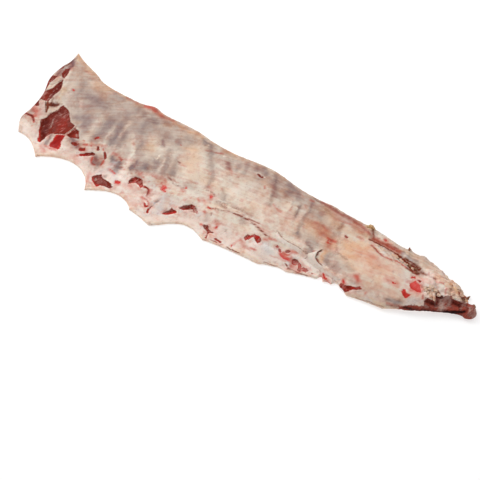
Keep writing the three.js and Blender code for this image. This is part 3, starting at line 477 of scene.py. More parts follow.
# Brown marks, partly stain and partly painted shade: dark lines painted as the shade under folds, beside the
# flaps and torn edges, in the crease and under the rib edge's lip, and brown stains and brown rims
BROWN_AND_SHADE = [
    # Painted shadow of the cut end's flap: its dark edge line and the dark wedge beside it
    ([(-293, 1), (-288, 1), (-285, 3)], 2.6, 1.4), ([(-298, 0), (-294, -6), (-291, -13)], 1.3, 1.4),
    ([(-297, -3), (-291, 0)], 2.2, 1.3), ([(-291, 0.5), (-289, 0.5)], 1.8, 1),
    ([(-296, 10), (-294, 3)], 1.4, 0.5), ([(-290, 6), (-280, 7)], 1, 0.5),
    # Dark lines along the small folds: painted shade
    ([(-46, -8), (-38, -8), (-33, -10)], 1.1, 0.55), ([(-27, -15), (-22, -15)], 1.2, 0.5),
    ([(-19, -14), (-16, -14)], 1.1, 0.5), ([(-14, -12), (-12, -17)], 0.9, 0.4),
    ([(-26, -18), (-14, -18)], 1.6, 0.3), ([(0, -11), (9, -11)], 1.1, 0.4),
    ([(-28, -28), (-16, -23.5), (-8, -21), (0, -19.5)], 1.2, 0.55),
    ([(0, -19.5), (10, -18.5), (22, -19), (30, -20.5)], 1, 0.95),
    ([(30, -20.5), (38, -23), (50, -26), (56, -26)], 1, 0.9), ([(-6, -14), (4, -13)], 0.8, 0.3),
    ([(20, -17), (26, -16), (35, -16)], 1, 0.75), ([(2, -16), (14, -15.5)], 0.7, 0.35),
    ([(-98, -18), (-90, -18)], 1.2, 0.6), ([(-90, -22), (-74, -21)], 1.1, 0.5),
    ([(-101, 10), (-98, 9)], 1.2, 0.6), ([(-150, 53), (-136, 53)], 3, 0.12),
    # Along the torn membrane's edge and round the torn tab: painted shade
    ([(60, -15), (66, -18), (72, -21), (80, -21)], 1.1, 0.8),
    ([(80, -21), (90, -20.5), (97, -21)], 1.1, 0.6), ([(98, -10), (104, -12), (110, -14)], 1.2, 0.4),
    ([(98, -22), (109, -23.5)], 1.1, 0.55), ([(65, -16), (72, -19)], 2, 0.2),
    ([(120, -10), (118.6, -14), (119, -19)], 1.3, 1), ([(121, -24), (127, -27.5), (131, -28.5)], 1.4, 1.2),
    ([(124, 38), (125.5, 32), (123, 28)], 2.8, 0.35),
    ([(129, 24), (131, 14), (134, 4), (137, -2)], 2.4, 0.22), ([(76, 50.5), (96, 51), (112, 51)], 1.4, 0.5),
    ([(92, 50), (112, 49.5), (128, 48.5)], 2.8, 0.42), ([(128, 48), (146, 47)], 3, 0.2),
    ([(92, 46), (100, 44)], 4, 0.25), ([(140, -3.5), (155, -4.5)], 1.4, 0.3),
    ([(161, 49), (163.5, 45), (167, 39)], 1.8, 0.75), ([(140, 46), (158, 43), (163, 40)], 1.6, 0.25),
    # The crease below the roll: red-brown stain, darkened with painted shade
    ([(168, 37), (176, 37), (188, 38), (204, 37.5)], 3.4, 0.5), ([(186, 40), (200, 40.5)], 1.8, 0.6),
    ([(164, 34.6), (180, 34), (196, 33.5), (206, 32.5)], 0.9, 1.1),
    ([(204, 33), (214, 30.5), (222, 28)], 1.8, 1.2), ([(214, 33.5), (226, 32), (237, 30.5)], 1.5, 0.95),
    ([(220, 28), (225, 26), (229, 22)], 2.2, 1.2), ([(226, 29), (236, 27.5)], 1.8, 1),
    ([(232, 25), (238, 23.5)], 1.6, 0.75), ([(223, 22), (230, 20.5), (236, 21)], 1.3, 0.9),
    ([(240, 26), (246, 26.5)], 2, 0.75), ([(171, 28), (178, 25)], 0.9, 0.5),
    ([(188, 29), (196, 26)], 0.9, 0.4), ([(196, 30), (204, 25)], 0.8, 0.35),
    ([(206, 29), (212, 26)], 0.8, 0.35), ([(172, 41), (174, 42)], 1.4, 0.5),
    # Lines along the rib edge's lip: painted shade under it
    ([(-4, -67.5), (3, -67)], 0.8, 0.7), ([(18, -66), (24, -66.5)], 0.8, 1),
    ([(26, -66), (36, -65.5)], 0.8, 1), ([(68, -60.5), (78, -59), (84, -57.5)], 0.9, 0.6),
    ([(98, -53.5), (124, -50.5)], 1.2, 0.6), ([(4, -45), (4, -48)], 1.2, 0.4),
    ([(-24, -34), (-23, -36)], 0.8, 0.7), ([(291, 25), (295, 22), (300, 20)], 1.6, 1),
    ([(301, 22), (305, 23)], 1.8, 0.9), ([(257, 26), (260, 27)], 1.2, 0.5),
    ([(266, 13), (269, 12), (272, 11)], 1.2, 1), ([(250, 9.5), (255, 9)], 1.2, 0.45),
    ([(262, 40), (270, 35)], 1.6, 0.35), ([(236, 46), (246, 45)], 1.2, 0.4),
    ([(188, -46), (204, -43), (222, -40)], 0.9, 0.5), ([(228, -34), (238, -30)], 1.4, 0.5),
    ([(226, -35), (242, -30)], 1.6, 0.35), ([(280, 26), (286, 18)], 5, 0.25),
    ([(300, 14), (304, 17)], 2, 0.5), ([(284, 34), (290, 31)], 1, 0.4), ([(256, -1), (258, -5)], 1.4, 0.4),
    ([(134, -36), (156, -38)], 1.6, 0.35), ([(-315, 56), (-311, 64), (-309.5, 74)], 1.4, 0.8),
    ([(-315, 26), (-306, 38), (-303, 42)], 0.8, 0.3),
    ([(-314, -29), (-308, -28), (-302, -28.5), (-297, -33)], 1.1, 1), ([(-84, -85), (-80, -87)], 2, 0.3),
    ([(152, 31), (156, 29)], 1.2, 0.3),
]
# Bluish-white veil: thick clouded membrane. Two small strokes by the blood at the thick end are painted
# glints
VEIL_AND_GLINTS = [
    ([(-88, -44), (-83, -66)], 6.5, 0.65), ([(56, -39), (66, -44)], 7, 0.7),
    ([(-158, -50), (-152, -58)], 5, 0.55), ([(-40, -40), (-34, -40)], 4, 0.35),
    ([(-208, -33), (-204, -31)], 2.6, 0.5), ([(206, 38), (222, 35)], 2.4, 0.4),
    ([(228, -27), (236, -26)], 3, 0.35), ([(174, 31), (179, 30)], 2, 0.55),
    ([(183, 31), (188, 28)], 2.6, 0.8), ([(196, 30), (200, 29)], 2, 0.4),
    ([(217, 26), (220, 23)], 1.2, 0.9), ([(222, 24), (224, 23)], 0.9, 0.8),
    ([(233, 27), (235, 26)], 0.9, 0.6), ([(-118, -34), (-106, -38)], 5, 0.35),
    ([(246, -16), (258, -10)], 5, 0.45), ([(92, -44), (98, -49)], 0.8, 1),
    # (227, -9) here and (236, -5) on the next line: painted glints on the wet blood
    ([(85, -44.5), (92, -45)], 0.7, 0.7), ([(227, -9), (231, -8)], 1, 0.8), ([(222, 12), (236, 2)], 7, 0.3),
    ([(236, -5), (240, -7)], 0.8, 0.6), ([(-78, -44), (-74, -48)], 3, 0.4),
    ([(146, 28), (152, 24)], 3, 0.2), ([(-170, -34), (-172, -46)], 3.4, 0.6),
    ([(-160, -46), (-176, -52)], 5, 0.5),
]
# Dark meat of the cut at the thick end, and its hollows: sunk into the mesh and painted darker, partly the
# meat's own darker patches and partly painted shade, near black in the slash along the lower edge
CUT_MEAT = [
    [(238, -29.5), (243, -26), (247, -22), (252, -19), (259, -16.5), (263, -13), (261, -7), (260, -2),
     (263, 0), (267, -1), (271, 2), (269, 7), (267, 11), (272, 10), (278, 11), (283, 14), (287, 16),
     (291, 14), (296, 14.5), (301, 14), (306, 16), (312, 24), (330, 26), (330, -12), (296, -18), (262, -40),
     (240, -36)],
]
CUT_HOLLOWS_AND_SHADE = [
    ([(287, -9), (297, -3.5), (303, 1), (309, 5)], 2.3, 1.3), ([(270, 7), (277, 8)], 3, 0.75),
    ([(263, -4), (274, -4)], 3, 0.7), ([(273, 4), (275, 0)], 2, 0.6), ([(293, 10), (299, 10)], 3, 0.5),
    ([(244, -28), (256, -24.5), (270, -17), (284, -11)], 2.2, 0.85), ([(310, 12), (311, 6)], 1.4, 0.6),
    ([(298, 14), (301, 13)], 1.2, 0.5), ([(268, -10), (271, -14)], 1.6, 0.4),
]


# The tissues with a crisp edge are stored as the distance into them. This one means that none is near.
CRISP_TISSUES = ("flesh", "blood", "cut_meat")
NONE_NEAR = -20.0


def clamped(value, low=0.0, high=1.0):
    return np.minimum(high, np.maximum(low, value))


def eased(value, low, high):
    """Rises smoothly from 0 at low to 1 at high."""
    t = clamped((value - low) / (high - low))
    return t * t * (3 - 2 * t)


def gradient_turn(column, row, seed):
    """A direction at each whole-numbered place, always the same for one seed."""
    mixed = column.astype(np.int64) * 374761393 + row.astype(np.int64) * 668265263 + seed * 974634777
    mixed = (mixed ^ (mixed >> 13)) * 1274126177
    return ((mixed ^ (mixed >> 16)) & 0xFFFF) * (math.tau / 0xFFFF)


def noise(x, y, seed):
    """Smooth noise from about -1 to 1, with a swell or a dip about every unit."""
    column, row = np.floor(x), np.floor(y)
    total = np.zeros_like(x)
    for right in (0, 1):
        for up in (0, 1):
            turn = gradient_turn(column + right, row + up, seed)
            dx, dy = x - column - right, y - row - up
            weight = eased(1 - abs(dx), 0, 1) * eased(1 - abs(dy), 0, 1)
            total += weight * (np.cos(turn) * dx + np.sin(turn) * dy)
    return 1.7 * total


def lobes(x, y, seed):
    """Rounded lumps packed close, one unit across: 1 in the middle of each and 0 in the creases between."""
    column, row = np.floor(x), np.floor(y)
    nearest = np.full(x.shape, 9.0)
    second = np.full(x.shape, 9.0)
    for right in (-1, 0, 1):
        for up in (-1, 0, 1):
            turn = gradient_turn(column + right, row + up, seed)
            dx, dy = x - column - right - 0.5, y - row - up - 0.5
            away = np.hypot(dx - 0.4 * np.cos(turn), dy - 0.4 * np.sin(turn))
            second = np.minimum(second, np.maximum(nearest, away))
            nearest = np.minimum(nearest, away)
    return clamped(1.3 * (second - nearest)) ** 0.5


def turned(x, y, degrees):
    """The same places measured along and across a direction this far round from x."""
    angle = np.radians(degrees)
    return x * np.cos(angle) + y * np.sin(angle), y * np.cos(angle) - x * np.sin(angle)


def line_reach(x, y, points):
    """Distance from each place to the line through the points, and the share of the way along it there."""
    points = np.array(points, float)
    steps = np.hypot(*np.diff(points, axis=0).T)
    starts = np.concatenate([[0], np.cumsum(steps)])
    best = np.full(x.shape, np.inf)
    share = np.zeros(x.shape)
    for (x0, y0), (x1, y1), start, step in zip(points, points[1:], starts, steps):
        t = clamped(((x - x0) * (x1 - x0) + (y - y0) * (y1 - y0)) / step**2)
        away = np.hypot(x - x0 - t * (x1 - x0), y - y0 - t * (y1 - y0))
        closer = away < best
        best[closer] = away[closer]
        share[closer] = ((start + t * step) / starts[-1])[closer]
    return best, share


def into_patch(x, y, corners):
    """Distance into a closed patch, negative outside it."""
    loop = corners + corners[:1]
    inside = np.zeros(x.shape, bool)
    for (x0, y0), (x1, y1) in zip(loop, loop[1:]):
        if y0 != y1:
            inside ^= ((y0 > y) != (y1 > y)) & (x < (x1 - x0) * (y - y0) / (y1 - y0) + x0)
    return np.where(inside, 1, -1) * line_reach(x, y, loop)[0]


def into_tissue(x, y, patches, streaks):
    """Distance into the nearest of the patches and streaks, negative outside them all."""
    reach = np.full(x.shape, NONE_NEAR)
    for corners in patches:
        reach = np.maximum(reach, into_patch(x, y, corners))
    for points, half in streaks:
        reach = np.maximum(reach, half - line_reach(x, y, points)[0])
    return reach


def soft_strokes(x, y, strokes, together=np.maximum):
    """Strength of soft strokes at each place: the strongest one's, or all of them added together."""
    strength = np.zeros(x.shape)
    for points, half, most in strokes:
        strength = together(strength, most * np.exp(-((line_reach(x, y, points)[0] / half) ** 2)))
    return strength


def rounded(thick, inward):
    """Height of the top with its edge rounded over: SIDE_SHARE of it at the outline, all of it further in."""
    bend = np.sqrt(1 - (1 - clamped(inward / (ROUND_SHARE * thick))) ** 2)
    return thick * (SIDE_SHARE + (1 - SIDE_SHARE) * bend)


def smooth_curve(points, count):
    """Points at even spaces along the smooth curve through the given ones."""
    p = np.array(points, float)
    padded = np.vstack([p[:1], p, p[-1:]])
    fine = []
    for before, start, end, after in zip(padded, padded[1:], padded[2:], padded[3:]):
        t = np.linspace(0, 1, 60, endpoint=False)[:, None]
        leave, arrive = (end - before) / 2, (after - start) / 2
        fine.append((2 * start - 2 * end + leave + arrive) * t**3
                    + (3 * end - 3 * start - 2 * leave - arrive) * t**2 + leave * t + start)
    fine = np.vstack(fine + [p[-1:]])
    lengths = np.concatenate([[0], np.cumsum(np.linalg.norm(np.diff(fine, axis=0), axis=1))])
    at = np.linspace(0, lengths[-1], count)
    return np.stack([np.interp(at, lengths, column) for column in fine.T], axis=-1)


# Points along each edge, close enough together that the straight steps between them don't show
EDGE_POINTS = 3000


def curve_at(points, shares):
    """Points of the smooth curve at these shares of its length."""
    curve = smooth_curve(points, EDGE_POINTS)
    at = np.linspace(0, 1, EDGE_POINTS)
    return np.stack([np.interp(shares, at, curve[:, 0]), np.interp(shares, at, curve[:, 1])], axis=-1)


def ragged(x, seed):
    """How far a cut edge wanders, mm: slightly all along, and more where fat and shreds hang at the tip."""
    rough = 0.35 + 0.75 * eased(x, 225, 250) + 0.7 * np.exp(-(((x - 150) / 26) ** 2)) * (seed == 1)
    return rough * (noise(x / 5, x * 0, seed) + 0.6 * noise(x / 2.1, x * 0, seed + 10))


def rib_points(u):
    """Rib edge at shares u of the way along: straight from cusp to cusp, less the arc between them."""
    rows = np.array(RIB_EDGE)
    x = rows[0, 0] + (rows[-1, 0] - rows[0, 0]) * u
    at = clamped(np.searchsorted(rows[:, 0], x, side="right") - 1, 0, len(rows) - 2).astype(int)
    x0, y0, depth, fullness, lean = rows[at].T
    x1, y1 = rows[at + 1, :2].T
    t = clamped((x - x0) / (x1 - x0))
    y = y0 + (y1 - y0) * t + depth * abs(np.sin(np.pi * t**lean)) ** fullness
    return np.stack([x, y + ragged(x, 1) * np.sin(np.pi * clamped(u)) ** 0.2], axis=-1)


def loin_points(u):
    """Loin edge at shares u of the way along, with its hanging scraps."""
    points = curve_at(LOIN_EDGE, u)
    for at, reach, half in LOIN_TAGS:
        points[..., 1] += reach * np.exp(-(((points[..., 0] - at) / half) ** 2))
    points[..., 1] += ragged(points[..., 0], 2) * np.sin(np.pi * clamped(u)) ** 0.2
    return points


def sheet(u, v):
    """Points of the sheet stretched between the four edges, at shares u along and v across."""
    rib, loin = rib_points(u)[:, None], loin_points(u)[:, None]
    cut, tip = curve_at(CUT_END, v), curve_at(TIP, v)
    u, v = u[:, None, None], v[None, :, None]
    corners = (1 - u) * ((1 - v) * rib[:1] + v * loin[:1]) + u * ((1 - v) * rib[-1:] + v * loin[-1:])
    return (1 - v) * rib + v * loin + (1 - u) * cut + u * tip - corners


def stations(rows, x):
    """Value at x of a line given by stations, eased from one to the next."""
    rows = np.array(rows, float)
    at = clamped(np.searchsorted(rows[:, 0], x) - 1, 0, len(rows) - 2).astype(int)
    t = eased(x, rows[at, 0], rows[at + 1, 0])
    return rows[at, 1] + (rows[at + 1, 1] - rows[at, 1]) * t


def thickness(x, y, from_loin, from_cut):
    """Thickness before any relief: the fringe, the step up to the muscle, and the thinner edges."""
    fringe = stations(FRINGE_THICKNESS, x)
    step = eased(y - stations(STEP_LINE, x), -STEP_WIDTH / 2, STEP_WIDTH / 2)
    full = fringe + (stations(MUSCLE_THICKNESS, x) - fringe) * step
    thin_loin = np.minimum(0, LOIN_EDGE_THICKNESS - full) * (1 - eased(from_loin, 0, LOIN_TAPER))
    thin_cut = np.minimum(0, CUT_END_THICKNESS - full) * (1 - eased(from_cut, 0, CUT_END_TAPER))
    return full + np.minimum(thin_loin, thin_cut)


def fold_relief(x, y):
    """Height of all the folds, each dying away at both ends."""
    total = np.zeros(x.shape)
    for points, half, high in FOLDS:
        away, share = line_reach(x, y, smooth_curve(points, 24))
        total += high * np.exp(-((away / half) ** 2)) * np.sqrt(np.sin(np.pi * clamped(share, 0.03, 0.97)))
    return total


def form_relief(x, y):
    """Height of all the oval forms: flat in the middle, steep at the edge."""
    total = np.zeros(x.shape)
    for centre_x, centre_y, along, across, turn, high in FORMS:
        dx, dy = turned(x - centre_x, y - centre_y, turn)
        total += high * (1 - eased(np.hypot(dx / along, dy / across), 0.55, 1.15))
    return total


def swell_relief(x, y):
    """Height of the long gentle swells."""
    return sum(high * np.sin(math.tau * (x / along + y / across + shift))
               for high, along, across, shift in SWELLS)


def look_from(azimuth, elevation):
    """Unit direction from the steak towards a viewer or a light."""
    return Vector((math.sin(azimuth) * math.cos(elevation), -math.cos(azimuth) * math.cos(elevation),
                   math.sin(elevation)))


def as_read(x, y, high):
    """Where a place this high shows on the level at which the marks are read, seen from the camera."""
    eye = Vector((AIM_X, AIM_Y, 0)) + look_from(VIEW_AZIMUTH, VIEW_ELEVATION) * VIEW_DISTANCE / MM
    reach = (eye.z - READ_HEIGHT) / (eye.z - high)
    return eye.x + (x - eye.x) * reach, eye.y + (y - eye.y) * reach


def across_fibres(x, y):
    """Place across the membrane's fibres, which slant over the broad end and run lengthwise beyond it."""
    return y + FIBRE_SLANT * FIBRE_BEND * np.logaddexp(0, -(x - FIBRE_TURN_X) / FIBRE_BEND) - 0.1 * x


def tissue_fields(x, y, inward):
    """What lies at each place of the top, with some painted shade and light: distances into crisp tissues,
    mm, and strengths of soft marks.
    """
    wander_x = 0.9 * noise(x / 9, y / 9, 21) + 0.6 * noise(x / 3.2, y / 3.2, 22)
    wander_y = 0.9 * noise(x / 9, y / 9, 23) + 0.6 * noise(x / 3.2, y / 3.2, 24)
    wx, wy = x + wander_x, y + wander_y
    sx, sy = x + 2.5 * wander_x, y + 2.5 * wander_y
    cut_meat = into_tissue(wx, wy, CUT_MEAT, [])
    fat = 1 - eased(sy - stations(STEP_LINE, sx), -4, 16)
    end_fat = eased(x, 232, 252) * (1 - 0.5 * eased(y, 34, 40))
    fat = np.maximum(fat * (1 - 0.5 * eased(x, 150, 200)), end_fat)
    rim = np.exp(-((inward / 2.4) ** 2)) * (cut_meat < 0)
    seam = np.exp(-(((sy - stations(STEP_LINE, sx) - 14) / 13) ** 2))
    seam *= 0.35 * eased(-x, -130, -60) + 0.65 * eased(-x, 0, 90)
    across = across_fibres(x, y)
    lines = np.exp(-((noise(sx / 44, across / 7, 25) / 0.14) ** 2))
    lines *= eased(noise(x / 26, y / 18, 26), -0.3, 0.4)
    threads = np.exp(-((noise(sx / 38, across / 8, 27) / 0.12) ** 2))
    threads *= eased(noise(x / 22, y / 12, 28), -0.3, 0.4)
    blush = noise(sx / 34, across / 15, 44) + 0.6 * noise(sx / 12, across / 6, 45)
    flecks = eased(noise(x / 4, y / 3, 29), 0.42, 0.62)
    end_rim = BARE_END_RIM - inward - 30 * eased(y, 70, 76) - 30 * eased(-y, 24, 30)
    end_rim = np.where(x < CUT_END_X, end_rim, NONE_NEAR)
    flesh = np.maximum(into_tissue(wx, wy, FLESH_PATCHES, FLESH_STREAKS), end_rim)
    beside = np.exp(-(((flesh + 2.4) / 2.2) ** 2)) * fat
    bruised = eased(noise(x / 8, y / 6, 46), -0.35, 0.35)
    return {
        "flesh": flesh,
        "flesh_tone": soft_strokes(wx, wy, FLESH_TONES, np.add),
        "blood": into_tissue(wx, wy, BLOOD_PATCHES, BLOOD_STREAKS),
        "cut_meat": cut_meat,
        "film": soft_strokes(wx, wy, FILM),
        "cut_hollows_and_shade": soft_strokes(wx, wy, CUT_HOLLOWS_AND_SHADE),
        "fat": fat,
        "lumpy": np.maximum(end_fat * eased(y, -6, 4), 0.2 * fat),
        # The outline is painted paler, against the shade on the rounded side
        "dusk_and_painted_light": soft_strokes(sx, sy, DUSK_AND_PAINTED_LIGHT, np.add) - 0.25 * rim - 0.2 * lines * (1 - fat),
        "peach": (np.maximum(soft_strokes(sx, sy, PEACH), 0.3 * rim * (1 - 0.6 * fat))
                  + 0.3 * eased(-blush, 0, 0.8) * (1 - fat)),
        "tallow": np.maximum(soft_strokes(sx, sy, TALLOW), 0.15 * rim * fat),
        "rose": (soft_strokes(wx, wy, ROSE) + seam * (0.06 + 0.45 * threads + 0.5 * flecks) + 0.1 * threads
                 + 0.16 * eased(blush, 0, 0.8) * (1 - fat) + 0.4 * beside * bruised),
        "brown_and_shade": soft_strokes(wx, wy, BROWN_AND_SHADE),
        "veil_and_glints": soft_strokes(wx, wy, VEIL_AND_GLINTS) + 0.35 * beside * (1 - bruised),
    }


def underside_fields(x, y, inward, fields):
    """What lies on the face below: whole membrane, grey-mauve over the muscle and cream over the fringe."""
    muscle = eased(y - stations(STEP_LINE, x), -6, 20) * (1 - 0.5 * eased(x, 200, 290))
    bent_x, bent_y = x + 9 * noise(x / 17, y / 17, 70), y + 6 * noise(x / 15, y / 15, 71)
    cloud, stain = 0, 0
    for number, turn in enumerate((24, -17, 58)):
        side, back = turned(bent_x, bent_y, turn)
        cloud += 0.7 * noise(side / (46 - 9 * number), back / 31, 72 + number)
        stain += 0.7 * noise(side / 38, back / (13 + 3 * number), 76 + number)
    below = {name: NONE_NEAR if name in CRISP_TISSUES else 0.0 for name in fields}
    below["fat"] = 1 - muscle
    below["dusk_and_painted_light"] = muscle * (0.85 * eased(cloud, -0.8, 1) - 0.2) - 0.15
    below["peach"] = 0.15 + 0.3 * eased(-cloud, 0.1, 0.8)
    below["rose"] = 0.35 * eased(stain, 0.3, 0.9) + 0.2 * np.exp(-(((inward - 5) / 3) ** 2))
    below["veil_and_glints"] = 0.5 * eased(-stain, 0.3, 0.9)
    over = eased(inward, 1, 7)
    return {name: values + (below[name] - values) * over for name, values in fields.items()}


def relief(x, y, fields):
    """Height of everything that stands up from, or sinks into, the smooth top."""
    fat, flesh, lumpy = fields["fat"], fields["flesh"], fields["lumpy"]
    bare = eased(flesh, -0.6, 0.8)
    lip = np.exp(-(((flesh + 1.2) / 1.1) ** 2)) * (flesh < 1)
    strand, grain = turned(x, y, 66)
    high = 0.3 * noise(x / 16, y / 16, 31) + 0.04 * noise(x / 3.4, y / 3.4, 32)
    askew_x, askew_y = turned(x, y, 14)
    high += (1 - fat) * (0.08 * noise(x / 26, across_fibres(x, y) / 7, 33)
                         + 0.2 * noise(askew_x / 10, askew_y / 38, 34))
    high += 0.22 * fat * (1 - lumpy) * noise(x / 9, y / 6, 35)
    lump_x, lump_y = x / 11 + 0.4 * noise(x / 7, y / 7, 36), y / 8 + 0.4 * noise(x / 7, y / 7, 37)
    high += 1.9 * lumpy * (lobes(lump_x, lump_y, 38) - 0.6)
    high += 0.25 * lumpy * noise(x / 2.6, y / 2.6, 39)
    sunk = 0.4 * bare + 0.9 * eased(flesh, 0.5, 4)
    high += lip * 0.5 - sunk
    high += bare * (0.35 * noise(strand / 7, grain / 1.4, 40) + 0.3 * noise(x / 3, y / 3, 41))
    high -= 0.5 * eased(fields["blood"], -1, 1.5)
    cut = eased(fields["cut_meat"], -1, 1.5)
    high += cut * (1.2 * noise(x / 7, y / 3.5, 42) + 0.6 * noise(x / 2.5, y / 2.5, 43) - 0.8)
    high += cut * (1.0 * fields["film"] - 3.0 * fields["cut_hollows_and_shade"])
    high -= 0.6 * fields["brown_and_shade"] * (x < 160)
    return high


def averaged(values, passes):
    """Each value of the grid averaged with its neighbours, this many times over."""
    for _ in range(passes):
        padded = np.pad(values, 1, mode="edge")
        values = (padded[:-2, 1:-1] + padded[2:, 1:-1] + padded[1:-1, :-2] + padded[1:-1, 2:]) / 4
    return values


# Flaps of membrane that stand off the steak. Each row runs from where the flap grows out of the steak to its
# free edge: place as read, and lift off the steak.

TORN_TAB = [
    [(120.2, -9, 0.2), (120.8, -7.8, 1.2), (122.2, -6.2, 1.6)],
    [(112.5, -17.5, 0.1), (115.5, -15.5, 1.6), (118.2, -14, 2)],
    [(108, -24, 0.1), (113.5, -21.5, 1.8), (118.6, -20.5, 2.4)],
    [(111, -31, 0.1), (117, -27.5, 1.6), (121.8, -26, 2.2)],
    [(123, -35, 0.1), (127.5, -31.5, 1.4), (130.5, -29.2, 1.6)],
    [(142, -36, 0.1), (144, -33, 0.8), (145.5, -31, 1.4)],
    [(158, -37, 0.1), (160, -35, 0.3), (161, -33.5, 0.6)],
]
TORN_EDGE = [
    [(58, -18, 0), (59.5, -16, 0.2), (60.5, -14.5, 0.4)],
    [(68, -25, 0), (69, -22, 0.5), (69.5, -20, 0.9)],
    [(80, -27, 0), (80, -24, 0.6), (80, -21.5, 1.1)],
    [(92, -27, 0), (92, -24, 0.5), (92, -21.5, 0.9)],
    [(103, -30, 0), (104, -27, 0.6), (105, -24.5, 1.2)],
    [(108, -32, 0), (110, -29, 0.5), (111, -25, 0.9)],
]
CUT_END_FLAP = [
    [(-311, -2, 0), (-306, -0.5, 1), (-301, 0, 1.6)],
    [(-307, -8, 0.1), (-303, -6, 1.2), (-298.5, -4.5, 2)],
    [(-301, -12, 0.1), (-298, -11, 0.8), (-295, -9.5, 1.4)],
    [(-294.5, -15, 0.1), (-293.5, -14.5, 0.3), (-292.8, -13.8, 0.5)],
]
CUT_END_RIBBON = [
    [(-315, 27, 0.1), (-313, 26, 0.5), (-311, 25, 0.2)],
    [(-312.5, 33, 0.2), (-309.5, 32, 1.2), (-306, 31, 0.3)],
    [(-309, 40.5, 0.2), (-306, 39, 1.4), (-303.5, 37, 0.3)],
    [(-303.5, 44, 0.1), (-302.5, 42.5, 0.6), (-301.5, 41, 0.1)],
]
STRAND = [
    [(-244.8, -12, 0.2), (-244, -12, 0.8), (-243.2, -12, 0.2)],
    [(-247, -20, 0.2), (-246.2, -20, 0.9), (-245.4, -20, 0.2)],
    [(-249, -27, 0.2), (-248.4, -27, 0.9), (-247.8, -27, 0.2)],
    [(-250.5, -33, 0.1), (-250, -33, 0.6), (-249.5, -33, 0.1)],
]
# Lumps: place as read, half sizes along, across and up, turn in degrees, lift of the middle off the steak
FAT_CRUMBS = [
    (269, 3, 3.8, 1.7, 1.8, -62, 0.6), (264, 4, 3.4, 1.8, 1.8, -66, 0.5),
    (259.5, 5.5, 3, 1.8, 1.6, -58, 0.3), (255, 8, 3, 2.2, 1.6, -40, 0.2), (272, 9, 3, 2, 1.8, -20, 0.4),
    (266, 12, 3.6, 2.6, 1.6, 10, 0), (286, 30, 5, 3, 1.7, -20, 0), (293, 27.5, 3.4, 2.4, 1.5, -35, 0.2),
    (280, 33, 4.4, 2.4, 1.3, -10, 0), (270, 35, 4.2, 2.2, 1.1, -25, 0), (276, 26, 5, 3.4, 1.3, 5, -0.2),
    (258, 14, 4.4, 3.4, 1.2, 30, -0.2), (296, 22, 2.6, 2, 1.8, -10, 0.4), (286, 19, 2.4, 1.8, 1.6, 20, 0.3),
    (290, 15, 2, 1.5, 1.6, 0, 0.4), (186, 29.5, 5, 2.4, 1.5, -15, 0), (201, 29, 5, 2.2, 1.4, 5, 0),
    (211, 28, 3.6, 2, 1.3, -10, 0), (218.5, 25.5, 2.8, 2, 1.5, 30, 0.2), (176, 31.5, 3, 1.5, 1, -10, 0),
    (228.5, 24.5, 2.2, 1.3, 1.2, -30, 0.2),
]
BROWN_CRUMBS = [
    (304, 24.5, 3.2, 1.5, 1.4, 70, 0.6), (300, 19, 2.8, 1.8, 1.2, 10, 0.2),
    (233, 48.4, 2.8, 1.5, 1, 15, 0.5), (213, 46.2, 3, 1.2, 0.9, 105, 0.4),
    (263, 40.5, 3, 1.4, 0.9, -30, 0.3), (316, 17.5, 2.4, 1.3, 0.9, -40, 0.3),
    (224, 27, 2.6, 1.6, 1.3, -40, 0.2), (232, 26.5, 2.6, 1.5, 1.4, -10, 0.2),
    (235, 22.5, 2.4, 1.3, 1.2, 10, 0.2),
]
TALLOW_TAG = [(157.8, 51, 3.6, 2.8, 2.8, -15, 0.6), (154.6, 49.6, 2.2, 1.6, 1.6, 20, 0.2)]

# The flaps with their thickness, and the lumps, each with the marks that cover all of it
FLAPS = [
    ("torn_tab", TORN_TAB, 0.8, {"fat": 0.9, "rose": 0.08, "dusk_and_painted_light": -0.1}),
    ("torn_edge", TORN_EDGE, 0.6, {"fat": 0.9, "rose": 0.08, "dusk_and_painted_light": -0.1}),
    ("cut_end_flap", CUT_END_FLAP, 0.9, {"fat": 0.4, "rose": 0.25, "dusk_and_painted_light": 0.1}),
    ("cut_end_ribbon", CUT_END_RIBBON, 0.9, {"dusk_and_painted_light": 0.05, "peach": 0.2}),
    ("strand", STRAND, 0.6, {"rose": 0.5, "dusk_and_painted_light": 0.1}),
]
LUMPS = [
    ("fat_crumbs", FAT_CRUMBS, {"fat": 0.7, "peach": 0.25, "tallow": 0.3, "rose": 0.05}),
    ("brown_crumbs", BROWN_CRUMBS, {"brown_and_shade": 0.6, "tallow": 0.8, "dusk_and_painted_light": 0.1}),
    ("tallow_tag", TALLOW_TAG, {"tallow": 1.2, "dusk_and_painted_light": -0.05}),
]

# Grid of the fine mesh: cells, and how much closer they lie towards each end and towards the long edges

CELLS_ALONG = 560
CELLS_ACROSS = 116
END_CLOSER = 0.25
RIM_CLOSER = 0.75
# A hollow is a place lower than its surroundings, averaged this many times over. Hollows are painted darker
# and raised places paler: painted shade and light.
HOLLOW_PASSES = 14
# Points along and across a flap
FLAP_POINTS = (40, 10)


def closer_to_ends(count, share):
    """Even shares from 0 to 1, drawn towards both ends so that the rounded side gets enough rings."""
    t = np.linspace(0, 1, count + 1)
    return t - share * np.sin(math.tau * t) / math.tau


def cell_faces(step, index, columns, rows):
    """Faces over the grid's cells, taken step by step. Where step is over 1 the border keeps every vertex."""
    faces = []
    for i in range(0, columns, step):
        for j in range(0, rows, step):
            near = [index[i + k, j] for k in range(step) if k == 0 or j == 0]
            right = [index[i + step, j + k] for k in range(step) if k == 0 or i + step == columns]
            far = [index[i + step - k, j + step] for k in range(step) if k == 0 or j + step == rows]
            left = [index[i, j + step - k] for k in range(step) if k == 0 or i == 0]
            faces.append(near + right + far + left)
    return faces


def distances_in(points, outline):
    """Distance from each point to the outline."""
    tree = kdtree.KDTree(len(outline))
    for number, (x, y) in enumerate(outline):
        tree.insert((x, y, 0), number)
    tree.balance()
    return np.array([tree.find((x, y, 0))[2] for x, y in points])


